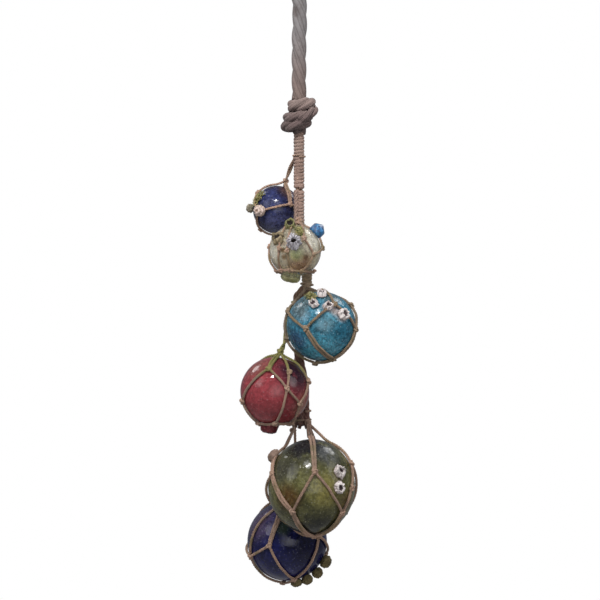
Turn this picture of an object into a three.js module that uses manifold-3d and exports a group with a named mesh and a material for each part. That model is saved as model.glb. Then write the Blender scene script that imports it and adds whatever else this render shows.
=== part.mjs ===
import * as THREE from 'three';
import { mergeVertices } from 'three/addons/utils/BufferGeometryUtils.js';
import Module from 'manifold-3d';

const wasm = await Module();
wasm.setup();

// A string of six glass float balls, each in a knotted net, hung from one rope. Millimetres, +Z up.
// The front faces -Y. The origin is the inside top of the rope's eye, where the string hangs.
// Latitude and longitude on a ball are degrees: 0, 0 faces the front, east is to the right, north is up.

// Fits
const CLEARANCE = 0.3;

// Main rope, its eye and the seizing that closes the eye
const ROPE_DIAMETER = 21;
const EYE_WIDTH = 63;
const EYE_LENGTH = 110;
const SEIZING_HEIGHT = 24;
const SEIZING_THICKNESS = 4;
const TAIL_LENGTH = 12;
const THROAT_SPREAD = 2;
const STEM_SHIFT = 40;
const STEM_LENGTH = 181;

// Stopper knot: each turn lies at a drop from the knot's top and leans up to the right
const KNOT_HEIGHT = 63;
const KNOT_SOCKET = 10;
const KNOT_HEART_WIDTH = 36;
const KNOT_TURNS = [
  { drop: 13, aside: 1.5, width: 37, cord: 17, lean: 24 },
  { drop: 27, aside: 2, width: 53, cord: 19, lean: 25 },
  { drop: 44, aside: -4, width: 45, cord: 19, lean: 12 },
];

// Served core below the knot
const CORE_DIAMETER = 10.4;
const CORE_ASIDE = 11;
const CORE_IN_KNOT = 18;
const SERVING_DIAMETER = 17.5;
const SERVING_PITCH = 4.9;
const SERVING_GROOVE = 1.3;
const SERVING_IN_KNOT = 5;
const SERVING_BREAK = 77;
const SERVING_BELOW_SECOND_TOP = 9;
const SERVING_LOW_BELOW_SECOND = 15;
const CORE_END_ABOVE_THIRD = 6;

// Opened strands at the rope's end: middle and half width at shares of the bundle's height
const STRAND_DIAMETER = 10;
const STRAND_STAGGER = 1.5;
const STRAND_STRAIGHT = 3;
const STRAND_LEAN = 1;
const BUNDLE_END_ABOVE_FIFTH = 10;
const BUNDLE_STATIONS = [
  { at: 0, aside: 10, reach: 7.5 },
  { at: 0.06, aside: 4, reach: 12 },
  { at: 0.18, aside: -1, reach: 11 },
  { at: 0.37, aside: 0, reach: 8 },
  { at: 0.51, aside: 0, reach: 7 },
  { at: 0.65, aside: 3, reach: 10 },
  { at: 0.83, aside: 3, reach: 12.5 },
  { at: 1, aside: 1.5, reach: 14.5 },
];

// Nets
const KNOT_SWELL = 0.9;
const PAIR_SWELL = 1.4;
const LEG_STEP = 36;

// Height of the first ball's centre below the knot
const FIRST_DROP = 99.6;

// Facets, and the shortest edge that a join leaves
const SHORT_EDGE = 0.3;
const ROPE_SIDES = 8;
const ROPE_STEPS = 30;
const EYE_STEP = 20;
const CORE_STEPS = 6;
const STRAND_SIDES = 6;
const STRAND_STEPS = 9;
const SOCKET_SIDES = 10;
const BAND_ARCS = 3;
const BALL_SIDES = 16;
const BALL_RINGS = 9;
const BUTTON_SIDES = 8;
const TWINE_SIDES = 4;
const BARNACLE_SIDES = 6;

// The balls from the top down. width and height are the glass. bearing is the side of the rope that
// it hangs on and stand its distance from the rope, less than nothing where it hangs under the rope's end.
// spacing is the height between it and the ball above. hangs is how far above the glass its cord meets
// the rope, and ties the same above the rope's end. clears is how far that cord stands off the turns
// below it, and via its places on the way, as [x, y, height over the glass]. Net knots are [latitude,
// longitude, height over the glass], and gathered knots lie on the front of the rope: [sideways, below
// the turn round the rope]. Each cord runs from knot to knot, and along pairs two cords lie together.
const BALLS = [
  {
    name: 'cobalt', colour: 0x2c3a80, width: 68, height: 68,
    bearing: -140, stand: 5.5, spacing: 0, twine: 3.8, hangs: 40,
    knots: {
      top: [71, 59, 6], right: [11, 32], northwest: [41, -88], west: [-6, -48], east: [-8, 104],
      back: [22, 172], southwest: [-50, -92], south: [-48, 30], base: [-86, 0],
    },
    pairs: [['top', 'right']],
    cords: [
      ['top', 'northwest', 'west', 'southwest', 'base', 'south', 'east'], ['west', 'right', 'east'],
      ['top', 'back', 'east'],
    ],
    barnacles: [
      { name: 'grey_barnacle', at: [3, -90], base: 14, rim: 11, mouth: 6, height: 7, colour: 0x7f7a63 },
      { name: 'pink_barnacle', at: [-3, -40], base: 18, rim: 12, mouth: 6, height: 8, colour: 0xb39a8b },
    ],
    moss: { name: 'cobalt_float_moss', lumps: [[34, -54, 14], [20, -62, 14]], colour: 0x8f9440 },
  },
  {
    name: 'clear', colour: 0xb9bfae, width: 72, height: 72,
    bearing: -15, stand: 5.5, spacing: -11.2, twine: 3.8, hangs: 1,
    seal: { at: [-80, -90], width: 27, height: 14 },
    knots: {
      top: [72, 160, 6], upper: [25, 20], vee: [-9, 43], side: [5, 84], left: [4, -35], middle: [-2, -17],
      back: [5, 175], farleft: [8, -110], ring1: [-47, -88], ring2: [-46, -48], ring3: [-45, -14],
      ring4: [-49, 20], ring5: [-48, 85], ring6: [-48, 170],
    },
    pairs: [],
    cords: [
      ['top', 'upper', 'vee', 'ring4'], ['top', 'side', 'vee'], ['top', 'left', 'ring2'],
      ['top', 'middle', 'ring3'], ['top', 'back', 'ring6'], ['top', 'farleft', 'ring1'],
      ['ring1', 'ring2', 'ring3', 'ring4', 'ring5', 'ring6'], ['ring6', 'ring1'],
    ],
    barnacles: [
      { name: 'green_barnacle', at: [66, -31], base: 15, rim: 13, mouth: 8, height: 9, colour: 0x67633a },
      { name: 'beige_barnacle', at: [24, -42], base: 18, rim: 13, mouth: 7, height: 7, colour: 0x8d7f66 },
      { name: 'silver_barnacle', at: [15, -3], base: 21, rim: 15, mouth: 7, height: 9, colour: 0x9a93a0 },
    ],
    bead: { name: 'blue_barnacle', at: [42, 95, 5], width: 23, colour: 0x2f86c8 },
    moss: { name: 'clear_float_moss', lumps: [[50, 12, 11], [40, 16, 9]], colour: 0x9a9a3c },
  },
  {
    name: 'turquoise', colour: 0x2f8fb5, width: 96.8, height: 96.8,
    bearing: 30, stand: 5.5, spacing: 20.6, twine: 4.4, hangs: 10,
    gathered: { top: [0, 4] },
    knots: {
      northwest: [25, -85], west: [-3, -25], heart: [37, 26], east: [-5, 69],
      northeast: [35, 98], southeast: [-62, 45], southwest: [-20, -90], foot: [-80, -80, 1],
      back: [-5, 165],
    },
    pairs: [['west', 'southeast', 'foot'], ['southeast', 'east']],
    cords: [
      ['top', 'northwest', 'west', 'heart', 'east', 'northeast', 'back'], ['top', 'heart'],
      ['top', 'northeast'], ['northwest', 'southwest', 'foot', 'back'], ['southwest', 'back'],
    ],
    barnacles: [
      { name: 'white_barnacle_1', at: [60, 2], base: 13, rim: 10, mouth: 6, height: 7, colour: 0xb7b1ac },
      { name: 'white_barnacle_2', at: [38, -14], base: 13, rim: 9.5, mouth: 5, height: 7, colour: 0xb7b1ac },
      { name: 'white_barnacle_3', at: [33, 12], base: 13, rim: 9.5, mouth: 5, height: 7, colour: 0xb7b1ac },
      { name: 'white_barnacle_4', at: [18.5, 38], base: 16, rim: 12, mouth: 6, height: 8, colour: 0xb7b1ac },
    ],
    moss: { name: 'turquoise_float_moss', lumps: [[54, -26, 14], [62, -44, 12]], colour: 0x9a9a3c },
  },
  {
    name: 'red', colour: 0xa8323f, width: 96, height: 96,
    bearing: -35, stand: 7, spacing: -6.1, twine: 4.2, hangs: 75,
    via: [[-19, -24, 22], [-17, -11, 52]],
    seal: { at: [-81, -90], width: 24, height: 16 },
    knots: {
      top: [82, 78, 5], dyed: [40, -12], fork: [5.5, 20], shoulder: [33, 28], west: [-15, -66],
      east: [-18, 46], right: [16, 74], back: [14, 165], farback: [14, -130], ring1: [-60, -62],
      ring2: [-60, 2], ring3: [-60, 62], ring4: [-60, 150], ring5: [-60, -125],
    },
    pairs: [['top', 'dyed']],
    cords: [
      ['top', 'shoulder', 'fork', 'ring2'], ['ring1', 'west', 'dyed', 'fork', 'east', 'right', 'top'],
      ['east', 'ring3'], ['right', 'back', 'ring4'], ['top', 'farback', 'ring5'],
      ['ring1', 'ring2', 'ring3', 'ring4', 'ring5'], ['ring5', 'ring1'],
    ],
    barnacles: [],
  },
  {
    name: 'olive', colour: 0x5f6238, width: 121, height: 132,
    bearing: 16, stand: -12, spacing: 17.6, twine: 4.6, ties: 14,
    gathered: { tie: [11, 4], tail: [-10, 14] },
    knots: {
      front: [20, 4], left: [16, -63], right: [28, 80],
      lowleft: [-28, -28], lowright: [-30, 50], side: [0, 61], base: [-84, 40], back: [18, 160],
      low1: [-32, 118], low2: [-32, -130],
    },
    pairs: [['tie', 'front'], ['tie', 'right'], ['tail', 'left', 'lowleft', 'base', 'lowright']],
    cords: [
      ['lowleft', 'front', 'lowright', 'side', 'right', 'low1', 'base'], ['tie', 'back', 'low1'],
      ['left', 'low2', 'base'],
    ],
    barnacles: [
      { name: 'white_barnacle_5', at: [19, 41], base: 19, rim: 13, mouth: 7, height: 9, colour: 0xc9beb0 },
      { name: 'white_barnacle_6', at: [1.5, 38], base: 18, rim: 13, mouth: 7, height: 9, colour: 0xc9beb0 },
      { name: 'brown_barnacle_1', at: [37, -88], base: 16, rim: 11, mouth: 4, height: 10, colour: 0x6d5547 },
    ],
  },
  {
    name: 'navy', colour: 0x15183a, width: 113, height: 113,
    bearing: -160, stand: -12, spacing: -39.9, twine: 4.4, ties: 28, clears: 8,
    knots: {
      top: [69, 17, 54], middle: [-3, -25], left: [-20, -68], foot: [-62, 20], right: [10, 50],
      back: [5, 168], farback: [5, -130], east: [-20, 104], base: [-84, -100],
    },
    pairs: [['top', 'middle']],
    cords: [
      ['top', 'left', 'base', 'foot'], ['left', 'middle', 'foot', 'right', 'top'],
      ['right', 'east', 'back', 'top'], ['back', 'base'], ['top', 'farback', 'left'],
    ],
    barnacles: [
      { name: 'brown_barnacle_2', at: [-27, 78], base: 20, rim: 14, mouth: 5, height: 9, colour: 0x5a5130 },
      { name: 'brown_barnacle_3', at: [-45, 76], base: 15, rim: 12, mouth: 5, height: 8, colour: 0x5a5130 },
      { name: 'brown_barnacle_4', at: [-59, 63], base: 15, rim: 12, mouth: 5, height: 9, colour: 0x5a5130 },
      { name: 'brown_barnacle_5', at: [-71, 42], base: 16, rim: 12, mouth: 5, height: 9, colour: 0x5a5130 },
    ],
  },
];

// Depth that a barnacle is made past the glass before it is cut to it, and that a seal button is sunk
const ROOT = 5;
const BUTTON_SINK = 5;

const radians = THREE.MathUtils.degToRad;
const point = (x, y, z) => new THREE.Vector3(x, y, z);

// A closed geometry as a solid that can be joined and cut
function solid(geometry) {
  const bare = geometry.clone();
  bare.deleteAttribute('normal');
  bare.deleteAttribute('uv');
  const merged = mergeVertices(bare, 1e-4);
  return new wasm.Manifold(new wasm.Mesh({
    numProp: 3,
    tolerance: SHORT_EDGE,
    vertProperties: new Float32Array(merged.attributes.position.array),
    triVerts: new Uint32Array(merged.index.array),
  }));
}

// The geometry of a solid
function shape(body) {
  const { vertProperties, triVerts } = body.getMesh();
  const geometry = new THREE.BufferGeometry();
  geometry.setAttribute('position', new THREE.BufferAttribute(new Float32Array(vertProperties), 3));
  geometry.setIndex(new THREE.BufferAttribute(new Uint32Array(triVerts), 1));
  geometry.computeVertexNormals();
  return geometry;
}

const joined = (solids) => solids.reduce((all, one) => all.add(one));

// A named mesh with its own finish
function piece(name, geometry, colour, roughness, metalness = 0) {
  const material = new THREE.MeshStandardMaterial({ color: colour, roughness, metalness });
  const mesh = new THREE.Mesh(geometry, material);
  mesh.name = name;
  return mesh;
}

// A round section with flat sides
function section(radius, sides) {
  const corners = Array.from({ length: sides }, (_, i) => {
    const turn = (2 * Math.PI * i) / sides;
    return new THREE.Vector2(radius * Math.cos(turn), radius * Math.sin(turn));
  });
  return new THREE.Shape(corners);
}

// A line of straight steps from point to point
class Route extends THREE.Curve {
  constructor(points) {
    super();
    this.points = points;
  }

  getPointAt(share) {
    return this.points[Math.round(share * (this.points.length - 1))].clone();
  }

  getTangentAt(share) {
    const last = this.points.length - 1;
    const i = Math.round(share * last);
    const ahead = this.points[Math.min(i + 1, last)].clone().sub(this.points[i]).normalize();
    const behind = this.points[i].clone().sub(this.points[Math.max(i - 1, 0)]).normalize();
    return ahead.add(behind).normalize();
  }
}

// A round cord along a line
function cordAlong(line, steps, diameter, sides) {
  return new THREE.ExtrudeGeometry(section(diameter / 2, sides), {
    steps,
    bevelEnabled: false,
    extrudePath: line,
  });
}

const smoothCord = (points, diameter, sides, steps) => (
  cordAlong(new THREE.CatmullRomCurve3(points, false, 'centripetal'), steps, diameter, sides)
);
const cord = (points, diameter, sides) => cordAlong(new Route(points), points.length - 1, diameter, sides);

// A turned shape about the Z axis, from a profile of [radius, height]
function turned(profile, sides) {
  const line = profile.map(([radius, height]) => new THREE.Vector2(radius, height));
  return new THREE.LatheGeometry(line, sides).rotateX(Math.PI / 2);
}

// The outline of a run of turns round something wide and deep, drawn outside that form
function racetrack(halfWidth, halfDepth, kind = THREE.Shape) {
  const out = halfDepth / Math.cos(Math.PI / (2 * BAND_ARCS));
  const corners = [];
  for (const side of [1, -1]) {
    for (let i = 0; i <= BAND_ARCS; i += 1) {
      const turn = (i / BAND_ARCS - 0.5) * Math.PI;
      corners.push(new THREE.Vector2(
        side * (halfWidth - halfDepth + out * Math.cos(turn)),
        side * out * Math.sin(turn),
      ));
    }
  }
  return new kind(corners);
}

// A closed band of turns, open in the middle, that stands from z = 0 up
function band(halfWidth, halfDepth, thickness, height) {
  const outline = racetrack(halfWidth + CLEARANCE + thickness, halfDepth + CLEARANCE + thickness);
  outline.holes.push(racetrack(halfWidth + CLEARANCE, halfDepth + CLEARANCE, THREE.Path));
  return new THREE.ExtrudeGeometry(outline, { depth: height, bevelEnabled: false });
}

// Heights down the string
const knotTop = -EYE_LENGTH - SEIZING_HEIGHT - STEM_LENGTH;
const knotFoot = knotTop - KNOT_HEIGHT;
let level = knotFoot - FIRST_DROP;
let above = null;
for (const ball of BALLS) {
  if (above) {
    level -= (above.height + ball.height) / 2 + ball.spacing;
  }
  ball.level = level;
  above = ball;
}
const [, second, third, , fifth] = BALLS;
const coreTop = knotFoot + CORE_IN_KNOT;
const coreEnd = third.level + third.height / 2 + CORE_END_ABOVE_THIRD;
const bundleTop = coreEnd - CLEARANCE;
const bundleEnd = fifth.level + fifth.height / 2 + BUNDLE_END_ABOVE_FIFTH;
const servingTop = knotFoot + SERVING_IN_KNOT;
const servingBreak = servingTop - SERVING_BREAK;
const servingFoot = second.level + second.height / 2 - SERVING_BELOW_SECOND_TOP;
const servingLow = second.level - SERVING_LOW_BELOW_SECOND;

// The core leaves the middle below the serving and comes straight again above the third ball
function coreAside(z) {
  return CORE_ASIDE * THREE.MathUtils.smoothstep(servingFoot - z, 0, servingFoot - servingLow);
}

// The bundle's middle and half width at a height
function bundleAt(z) {
  const share = THREE.MathUtils.clamp((bundleTop - z) / (bundleTop - bundleEnd), 0, 1);
  const next = Math.max(1, BUNDLE_STATIONS.findIndex((station) => station.at >= share));
  const [from, to] = [BUNDLE_STATIONS[next - 1], BUNDLE_STATIONS[next]];
  const part = (share - from.at) / (to.at - from.at);
  return {
    aside: THREE.MathUtils.lerp(from.aside, to.aside, part),
    reach: THREE.MathUtils.lerp(from.reach, to.reach, part),
  };
}

// The rope's middle and its half width and depth at a height
function ropeAt(z) {
  if (z > coreEnd) {
    const served = z > servingFoot || z < servingLow;
    const reach = (served ? SERVING_DIAMETER : CORE_DIAMETER) / 2;
    return { aside: coreAside(z), reach, depth: reach };
  }
  const depth = STRAND_DIAMETER / 2 + STRAND_STAGGER + STRAND_LEAN;
  const { aside, reach } = bundleAt(z);
  return { aside, reach: Math.max(reach, depth) + STRAND_LEAN, depth };
}

// Balls hang against the side of the rope
for (const ball of BALLS) {
  const away = ball.width / 2 + SERVING_DIAMETER / 2 + ball.stand;
  const bearing = radians(ball.bearing);
  ball.centre = point(
    ropeAt(ball.level).aside + away * Math.sin(bearing),
    -away * Math.cos(bearing),
    ball.level,
  );
  ball.radii = point(ball.width / 2, ball.width / 2, ball.height / 2);
}

// The way out of a ball at a latitude and longitude
function outward(ball, [latitude, longitude]) {
  const [north, east] = [radians(latitude), radians(longitude)];
  const flat = Math.cos(north);
  return point(flat * Math.sin(east), -flat * Math.cos(east), Math.sin(north));
}

// A point at a height over the glass
function over(ball, place, height) {
  const out = outward(ball, place);
  return out.clone().multiply(ball.radii).addScaledVector(out, height).add(ball.centre);
}

// A cord's line from one point to another that is kept off the glass
function wrapped(ball, from, to, seat) {
  const least = 1 + seat / ball.radii.x;
  const keep = least / Math.cos(radians(LEG_STEP / 2));
  const angle = from.clone().sub(ball.centre).angleTo(to.clone().sub(ball.centre));
  const parts = Math.max(2, Math.ceil(THREE.MathUtils.radToDeg(angle) / LEG_STEP));
  const lift = (spot) => (spot.length() < keep ? spot.setLength(keep) : spot);
  const spots = Array.from({ length: parts + 1 }, (_, i) => (
    lift(from.clone().lerp(to, i / parts).sub(ball.centre).divide(ball.radii))
  ));
  const line = spots.flatMap((spot, i) => {
    const middle = spot.clone().add(spots[Math.max(i - 1, 0)]).multiplyScalar(0.5);
    return middle.length() < least ? [lift(middle), spot] : [spot];
  });
  return line.map((spot) => spot.multiply(ball.radii).add(ball.centre));
}

// The glass ball with its seal button
function glass(ball, grown = 0) {
  const scale = (size) => 1 + (2 * grown) / size;
  const round = new THREE.SphereGeometry(1, BALL_SIDES, BALL_RINGS).rotateX(Math.PI / 2);
  const body = round.clone().scale(ball.radii.x + grown, ball.radii.y + grown, ball.radii.z + grown);
  let whole = solid(body.translate(...ball.centre));
  if (ball.seal) {
    const { at, width, height } = ball.seal;
    const button = new THREE.SphereGeometry(0.5, BUTTON_SIDES, BUTTON_SIDES / 2).rotateX(Math.PI / 2);
    button.scale(width * scale(width), width * scale(width), height * scale(height));
    button.applyQuaternion(new THREE.Quaternion().setFromUnitVectors(point(0, 0, 1), outward(ball, at)));
    whole = whole.add(solid(button.translate(...over(ball, at, height / 2 - BUTTON_SINK))));
  }
  return whole;
}

// Where a ball's cord goes round the rope
function hitchOf(ball) {
  return ball.ties === undefined ? ball.level + ball.height / 2 + ball.hangs : bundleEnd + ball.ties;
}

// The places of a net's knots: those over the glass, and those gathered at the rope
function knotSpots(ball, seat) {
  const hitch = hitchOf(ball);
  const { aside, depth } = ropeAt(hitch);
  const off = depth + CLEARANCE + ball.twine * KNOT_SWELL;
  const glassSpots = Object.entries(ball.knots).map(([name, place]) => {
    const spot = over(ball, place, seat + (place[2] ?? 0));
    return [name, wrapped(ball, spot, spot, seat)[0]];
  });
  const ropeSpots = Object.entries(ball.gathered ?? {}).map(([name, [across, drop]]) => (
    [name, point(aside + across, -off, hitch - drop)]
  ));
  return Object.fromEntries([...glassSpots, ...ropeSpots]);
}

// The cord from a net's top knot up to the turn round the rope
function hanger(ball, spot, twine) {
  const hitch = hitchOf(ball);
  const { aside, reach, depth } = ropeAt(hitch);
  const across = THREE.MathUtils.clamp(spot.x - aside, depth - reach, reach - depth);
  const middle = point(aside + across, 0, hitch);
  const toward = point(spot.x - middle.x, spot.y, 0);
  const start = middle.clone().add(toward.setLength(depth + CLEARANCE + ball.twine / 2));
  const top = ball.level + ball.height / 2;
  const way = (ball.via ?? []).map(([x, y, rise]) => point(x, y, top + rise));
  if (ball.clears) {
    way.push(start.clone().add(toward.setLength(ball.clears)).sub(point(0, 0, ball.clears)));
  }
  return solid(cord([spot, ...way, start], twine, TWINE_SIDES));
}

// The knotted net of a ball, with the cord that hangs it and its turn round the rope
function net(ball, grown = 0) {
  const twine = ball.twine + 2 * grown;
  const seat = CLEARANCE + ball.twine * PAIR_SWELL / 2;
  const spots = knotSpots(ball, seat);
  const hitch = hitchOf(ball);
  const rope = ropeAt(hitch);
  const ring = band(rope.reach, rope.depth, twine, twine);
  const parts = [solid(ring.translate(rope.aside, 0, hitch - twine / 2))];
  const run = (names, thick) => {
    const legs = names.slice(1).map((name, i) => wrapped(ball, spots[names[i]], spots[name], seat));
    const line = [spots[names[0]], ...legs.flatMap((leg) => leg.slice(1))];
    parts.push(solid(cord(line, thick, TWINE_SIDES)));
  };
  ball.cords.forEach((names) => run(names, twine));
  ball.pairs.forEach((names) => run(names, twine * PAIR_SWELL));
  for (const name of Object.keys(ball.gathered ?? { top: null })) {
    const knot = new THREE.OctahedronGeometry(twine * KNOT_SWELL);
    parts.push(solid(knot.translate(...spots[name])), hanger(ball, spots[name], twine));
  }
  return joined(parts);
}

// Turns a shape that stands on z = 0 to stand on the glass
function seated(geometry, ball, place, height = 0) {
  const turn = new THREE.Quaternion().setFromUnitVectors(point(0, 0, 1), outward(ball, place));
  return geometry.applyQuaternion(turn).translate(...over(ball, place, height));
}

// A hollow cone with a mouth, rooted in the glass's curve
function barnacle({ base, rim, mouth, height }) {
  return turned([
    [0, -ROOT],
    [base / 2, -ROOT],
    [base / 2, 0],
    [rim / 2, height],
    [mouth / 2, height],
    [mouth / 3, height / 2],
    [0, height / 2],
  ], BARNACLE_SIDES);
}

function addBall(group, ball) {
  const core = glass(ball);
  const clear = glass(ball, CLEARANCE).add(net(ball, CLEARANCE));
  group.add(piece(`${ball.name}_float`, shape(core), ball.colour, 0.12));
  group.add(piece(`${ball.name}_float_net`, shape(net(ball)), 0x94775f, 0.95));
  for (const one of ball.barnacles) {
    const body = solid(seated(barnacle(one), ball, one.at)).subtract(clear);
    group.add(piece(one.name, shape(body), one.colour, 0.9));
  }
  if (ball.bead) {
    const { name, at, width, colour } = ball.bead;
    const bead = solid(seated(new THREE.IcosahedronGeometry(width / 2), ball, at, at[2]));
    group.add(piece(name, shape(bead.subtract(clear)), colour, 0.35));
  }
  if (ball.moss) {
    const lumps = ball.moss.lumps.map(([latitude, longitude, width]) => {
      const lump = new THREE.IcosahedronGeometry(width / 2).scale(1, 1, 0.5);
      return solid(seated(lump, ball, [latitude, longitude]));
    });
    group.add(piece(ball.moss.name, shape(joined(lumps).subtract(clear)), ball.moss.colour, 1));
  }
}

// The rope from the knot up, round the eye and back down beside itself
function hangingRope() {
  const half = ROPE_DIAMETER / 2;
  const bend = EYE_WIDTH / 2 + half;
  const beside = half + CLEARANCE;
  const seizingTop = -EYE_LENGTH;
  const tailEnd = seizingTop - SEIZING_HEIGHT - TAIL_LENGTH;
  const stemTop = tailEnd - STEM_SHIFT;
  const points = [
    point(0, 0, knotTop - KNOT_SOCKET + CLEARANCE),
    point(0, 0, (knotTop + stemTop) / 2),
    point(0, 0, stemTop),
    point(-beside, 0, tailEnd - CLEARANCE),
    point(-beside, 0, (seizingTop + tailEnd) / 2),
    point(-beside, 0, seizingTop),
    point(-beside - THROAT_SPREAD, 0, seizingTop + half),
  ];
  for (let turn = 180 + EYE_STEP; turn >= -EYE_STEP; turn -= EYE_STEP) {
    const angle = radians(turn);
    points.push(point(bend * Math.cos(angle), 0, half - bend + bend * Math.sin(angle)));
  }
  points.push(
    point(beside + THROAT_SPREAD, 0, seizingTop + half),
    point(beside, 0, seizingTop),
    point(beside, 0, (seizingTop + tailEnd) / 2),
    point(beside, 0, tailEnd),
  );
  return smoothCord(points, ROPE_DIAMETER, ROPE_SIDES, ROPE_STEPS);
}

function eyeSeizing() {
  const half = ROPE_DIAMETER / 2;
  const ring = band(2 * half + CLEARANCE, half, SEIZING_THICKNESS, SEIZING_HEIGHT);
  return ring.translate(0, 0, -EYE_LENGTH - SEIZING_HEIGHT);
}

// Fat turns round a heart, with a socket above for the rope and one below for the core
function stopperKnot() {
  const heart = new THREE.SphereGeometry(0.5, 8, 6).rotateX(Math.PI / 2);
  heart.scale(KNOT_HEART_WIDTH, KNOT_HEART_WIDTH, KNOT_HEIGHT);
  const parts = [solid(heart.translate(0, 0, knotTop - KNOT_HEIGHT / 2))];
  for (const { drop, aside, width, cord: thick, lean } of KNOT_TURNS) {
    const turn = new THREE.TorusGeometry((width - thick) / 2, thick / 2, 6, 10);
    parts.push(solid(turn.rotateY(-radians(lean)).translate(aside, 0, knotTop - drop)));
  }
  const socket = (diameter, foot, top) => {
    const radius = (diameter / 2 + CLEARANCE) / Math.cos(Math.PI / SOCKET_SIDES);
    return solid(turned([[0, foot], [radius, foot], [radius, top], [0, top]], SOCKET_SIDES));
  };
  return joined(parts)
    .subtract(socket(ROPE_DIAMETER, knotTop - KNOT_SOCKET, knotTop + KNOT_HEIGHT))
    .subtract(socket(SERVING_DIAMETER, knotFoot - KNOT_HEIGHT, coreTop + CLEARANCE));
}

// Straight in its servings, with an easy bend between them
function coreRope() {
  const heights = [coreTop];
  for (let i = 0; i <= CORE_STEPS; i += 1) {
    heights.push(THREE.MathUtils.lerp(servingFoot, servingLow, i / CORE_STEPS));
  }
  heights.push(coreEnd);
  return cord(heights.map((z) => point(coreAside(z), 0, z)), CORE_DIAMETER, ROPE_SIDES);
}

// Round turns wound close on the core
function serving(top, foot) {
  const turns = Math.round((top - foot) / SERVING_PITCH);
  const pitch = (top - foot) / turns;
  const bore = (CORE_DIAMETER / 2 + CLEARANCE) / Math.cos(Math.PI / ROPE_SIDES);
  const groove = SERVING_DIAMETER / 2 - SERVING_GROOVE;
  const profile = [[bore, foot], [groove, foot]];
  for (let i = 0; i < turns; i += 1) {
    profile.push([SERVING_DIAMETER / 2, foot + (i + 0.5) * pitch], [groove, foot + (i + 1) * pitch]);
  }
  profile.push([bore, top], [bore, foot]);
  return turned(profile, ROPE_SIDES);
}

// Three strands of the rope, opened out side by side, that leave the core's end straight
function strandBundle() {
  const strands = [-1, 0, 1].map((side) => {
    const stagger = side === 0 ? -STRAND_STAGGER : STRAND_STAGGER;
    const spot = (z) => {
      const { aside, reach } = bundleAt(z);
      return point(aside + side * (reach - STRAND_DIAMETER / 2), stagger, z);
    };
    const start = spot(bundleTop);
    const points = [start, point(start.x, start.y, bundleTop - STRAND_STRAIGHT)];
    for (let i = 1; i <= STRAND_STEPS; i += 1) {
      points.push(spot(THREE.MathUtils.lerp(bundleTop, bundleEnd, i / STRAND_STEPS)));
    }
    return solid(cord(points, STRAND_DIAMETER, STRAND_SIDES));
  });
  return shape(joined(strands));
}

const string = new THREE.Group();
string.add(piece('hanging_rope', hangingRope(), 0x8f8580, 0.95));
string.add(piece('eye_seizing', eyeSeizing(), 0x94775f, 0.95));
string.add(piece('stopper_knot', shape(stopperKnot()), 0x8b766c, 0.95));
string.add(piece('core_rope', coreRope(), 0x6f5648, 0.95));
string.add(piece('serving_upper', serving(servingTop, servingBreak), 0x9c7d70, 0.95));
string.add(piece('serving_middle', serving(servingBreak - CLEARANCE, servingFoot), 0x9c7d70, 0.95));
const lowServing = serving(servingLow, coreEnd).translate(CORE_ASIDE, 0, 0);
string.add(piece('serving_lower', lowServing, 0x7f6754, 0.95));
string.add(piece('strand_bundle', strandBundle(), 0x5e483c, 0.95));
for (const ball of BALLS) {
  addBall(string, ball);
}

export default string;
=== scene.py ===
"""Dresses the packed string of six netted glass floats with rope, twine, glass, shells and moss."""

import math
import random

import bmesh
import bpy
from mathutils import Matrix, Vector, noise


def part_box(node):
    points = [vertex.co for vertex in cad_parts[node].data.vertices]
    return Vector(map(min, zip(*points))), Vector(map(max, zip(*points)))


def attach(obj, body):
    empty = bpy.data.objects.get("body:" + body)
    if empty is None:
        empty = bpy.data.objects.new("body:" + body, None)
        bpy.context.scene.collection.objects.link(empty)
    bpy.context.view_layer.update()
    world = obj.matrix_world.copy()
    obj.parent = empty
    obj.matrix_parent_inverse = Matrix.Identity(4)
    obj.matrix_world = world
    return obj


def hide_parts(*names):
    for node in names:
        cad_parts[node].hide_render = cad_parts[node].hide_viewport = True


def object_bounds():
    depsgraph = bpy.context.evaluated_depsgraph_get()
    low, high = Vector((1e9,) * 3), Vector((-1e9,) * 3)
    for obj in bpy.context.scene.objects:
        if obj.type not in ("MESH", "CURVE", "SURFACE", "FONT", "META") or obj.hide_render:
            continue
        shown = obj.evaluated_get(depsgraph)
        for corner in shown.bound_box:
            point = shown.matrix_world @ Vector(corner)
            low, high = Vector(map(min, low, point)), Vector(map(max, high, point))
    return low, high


bl_info = {
    "name": "Netted glass float string",
    "version": (1, 0, 0),
    "blender": (4, 5, 0),
    "location": "View3D > Sidebar > Floats",
    "description": "Makes the rope, nets, glass, shells and moss of a hanging string of floats",
    "category": "Object",
}

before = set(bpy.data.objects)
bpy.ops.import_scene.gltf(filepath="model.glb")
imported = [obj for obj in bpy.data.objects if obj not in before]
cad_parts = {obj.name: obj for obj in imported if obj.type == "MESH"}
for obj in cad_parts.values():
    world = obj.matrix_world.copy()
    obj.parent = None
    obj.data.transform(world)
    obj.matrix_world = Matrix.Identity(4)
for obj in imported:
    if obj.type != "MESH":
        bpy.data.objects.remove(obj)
CAD_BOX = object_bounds()

MM = 0.001
FULL_TURN = 2 * math.pi
BODY = "root"

# Sizes of the solids, in millimetres
CLEARANCE = 0.3
ROPE_DIAMETER = 21
EYE_WIDTH = 63
EYE_LENGTH = 110
SEIZING_HEIGHT = 24
TAIL_LENGTH = 12
THROAT_SPREAD = 2
STEM_SHIFT = 40
STEM_LENGTH = 181
EYE_STEP = 20
KNOT_SOCKET = 10
CORE_DIAMETER = 10.4
CORE_ASIDE = 11
SERVING_DIAMETER = 17.5
SERVING_PITCH = 4.9
STRAND_DIAMETER = 10
STRAND_STAGGER = 1.5
STRAND_LEAN = 1

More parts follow.
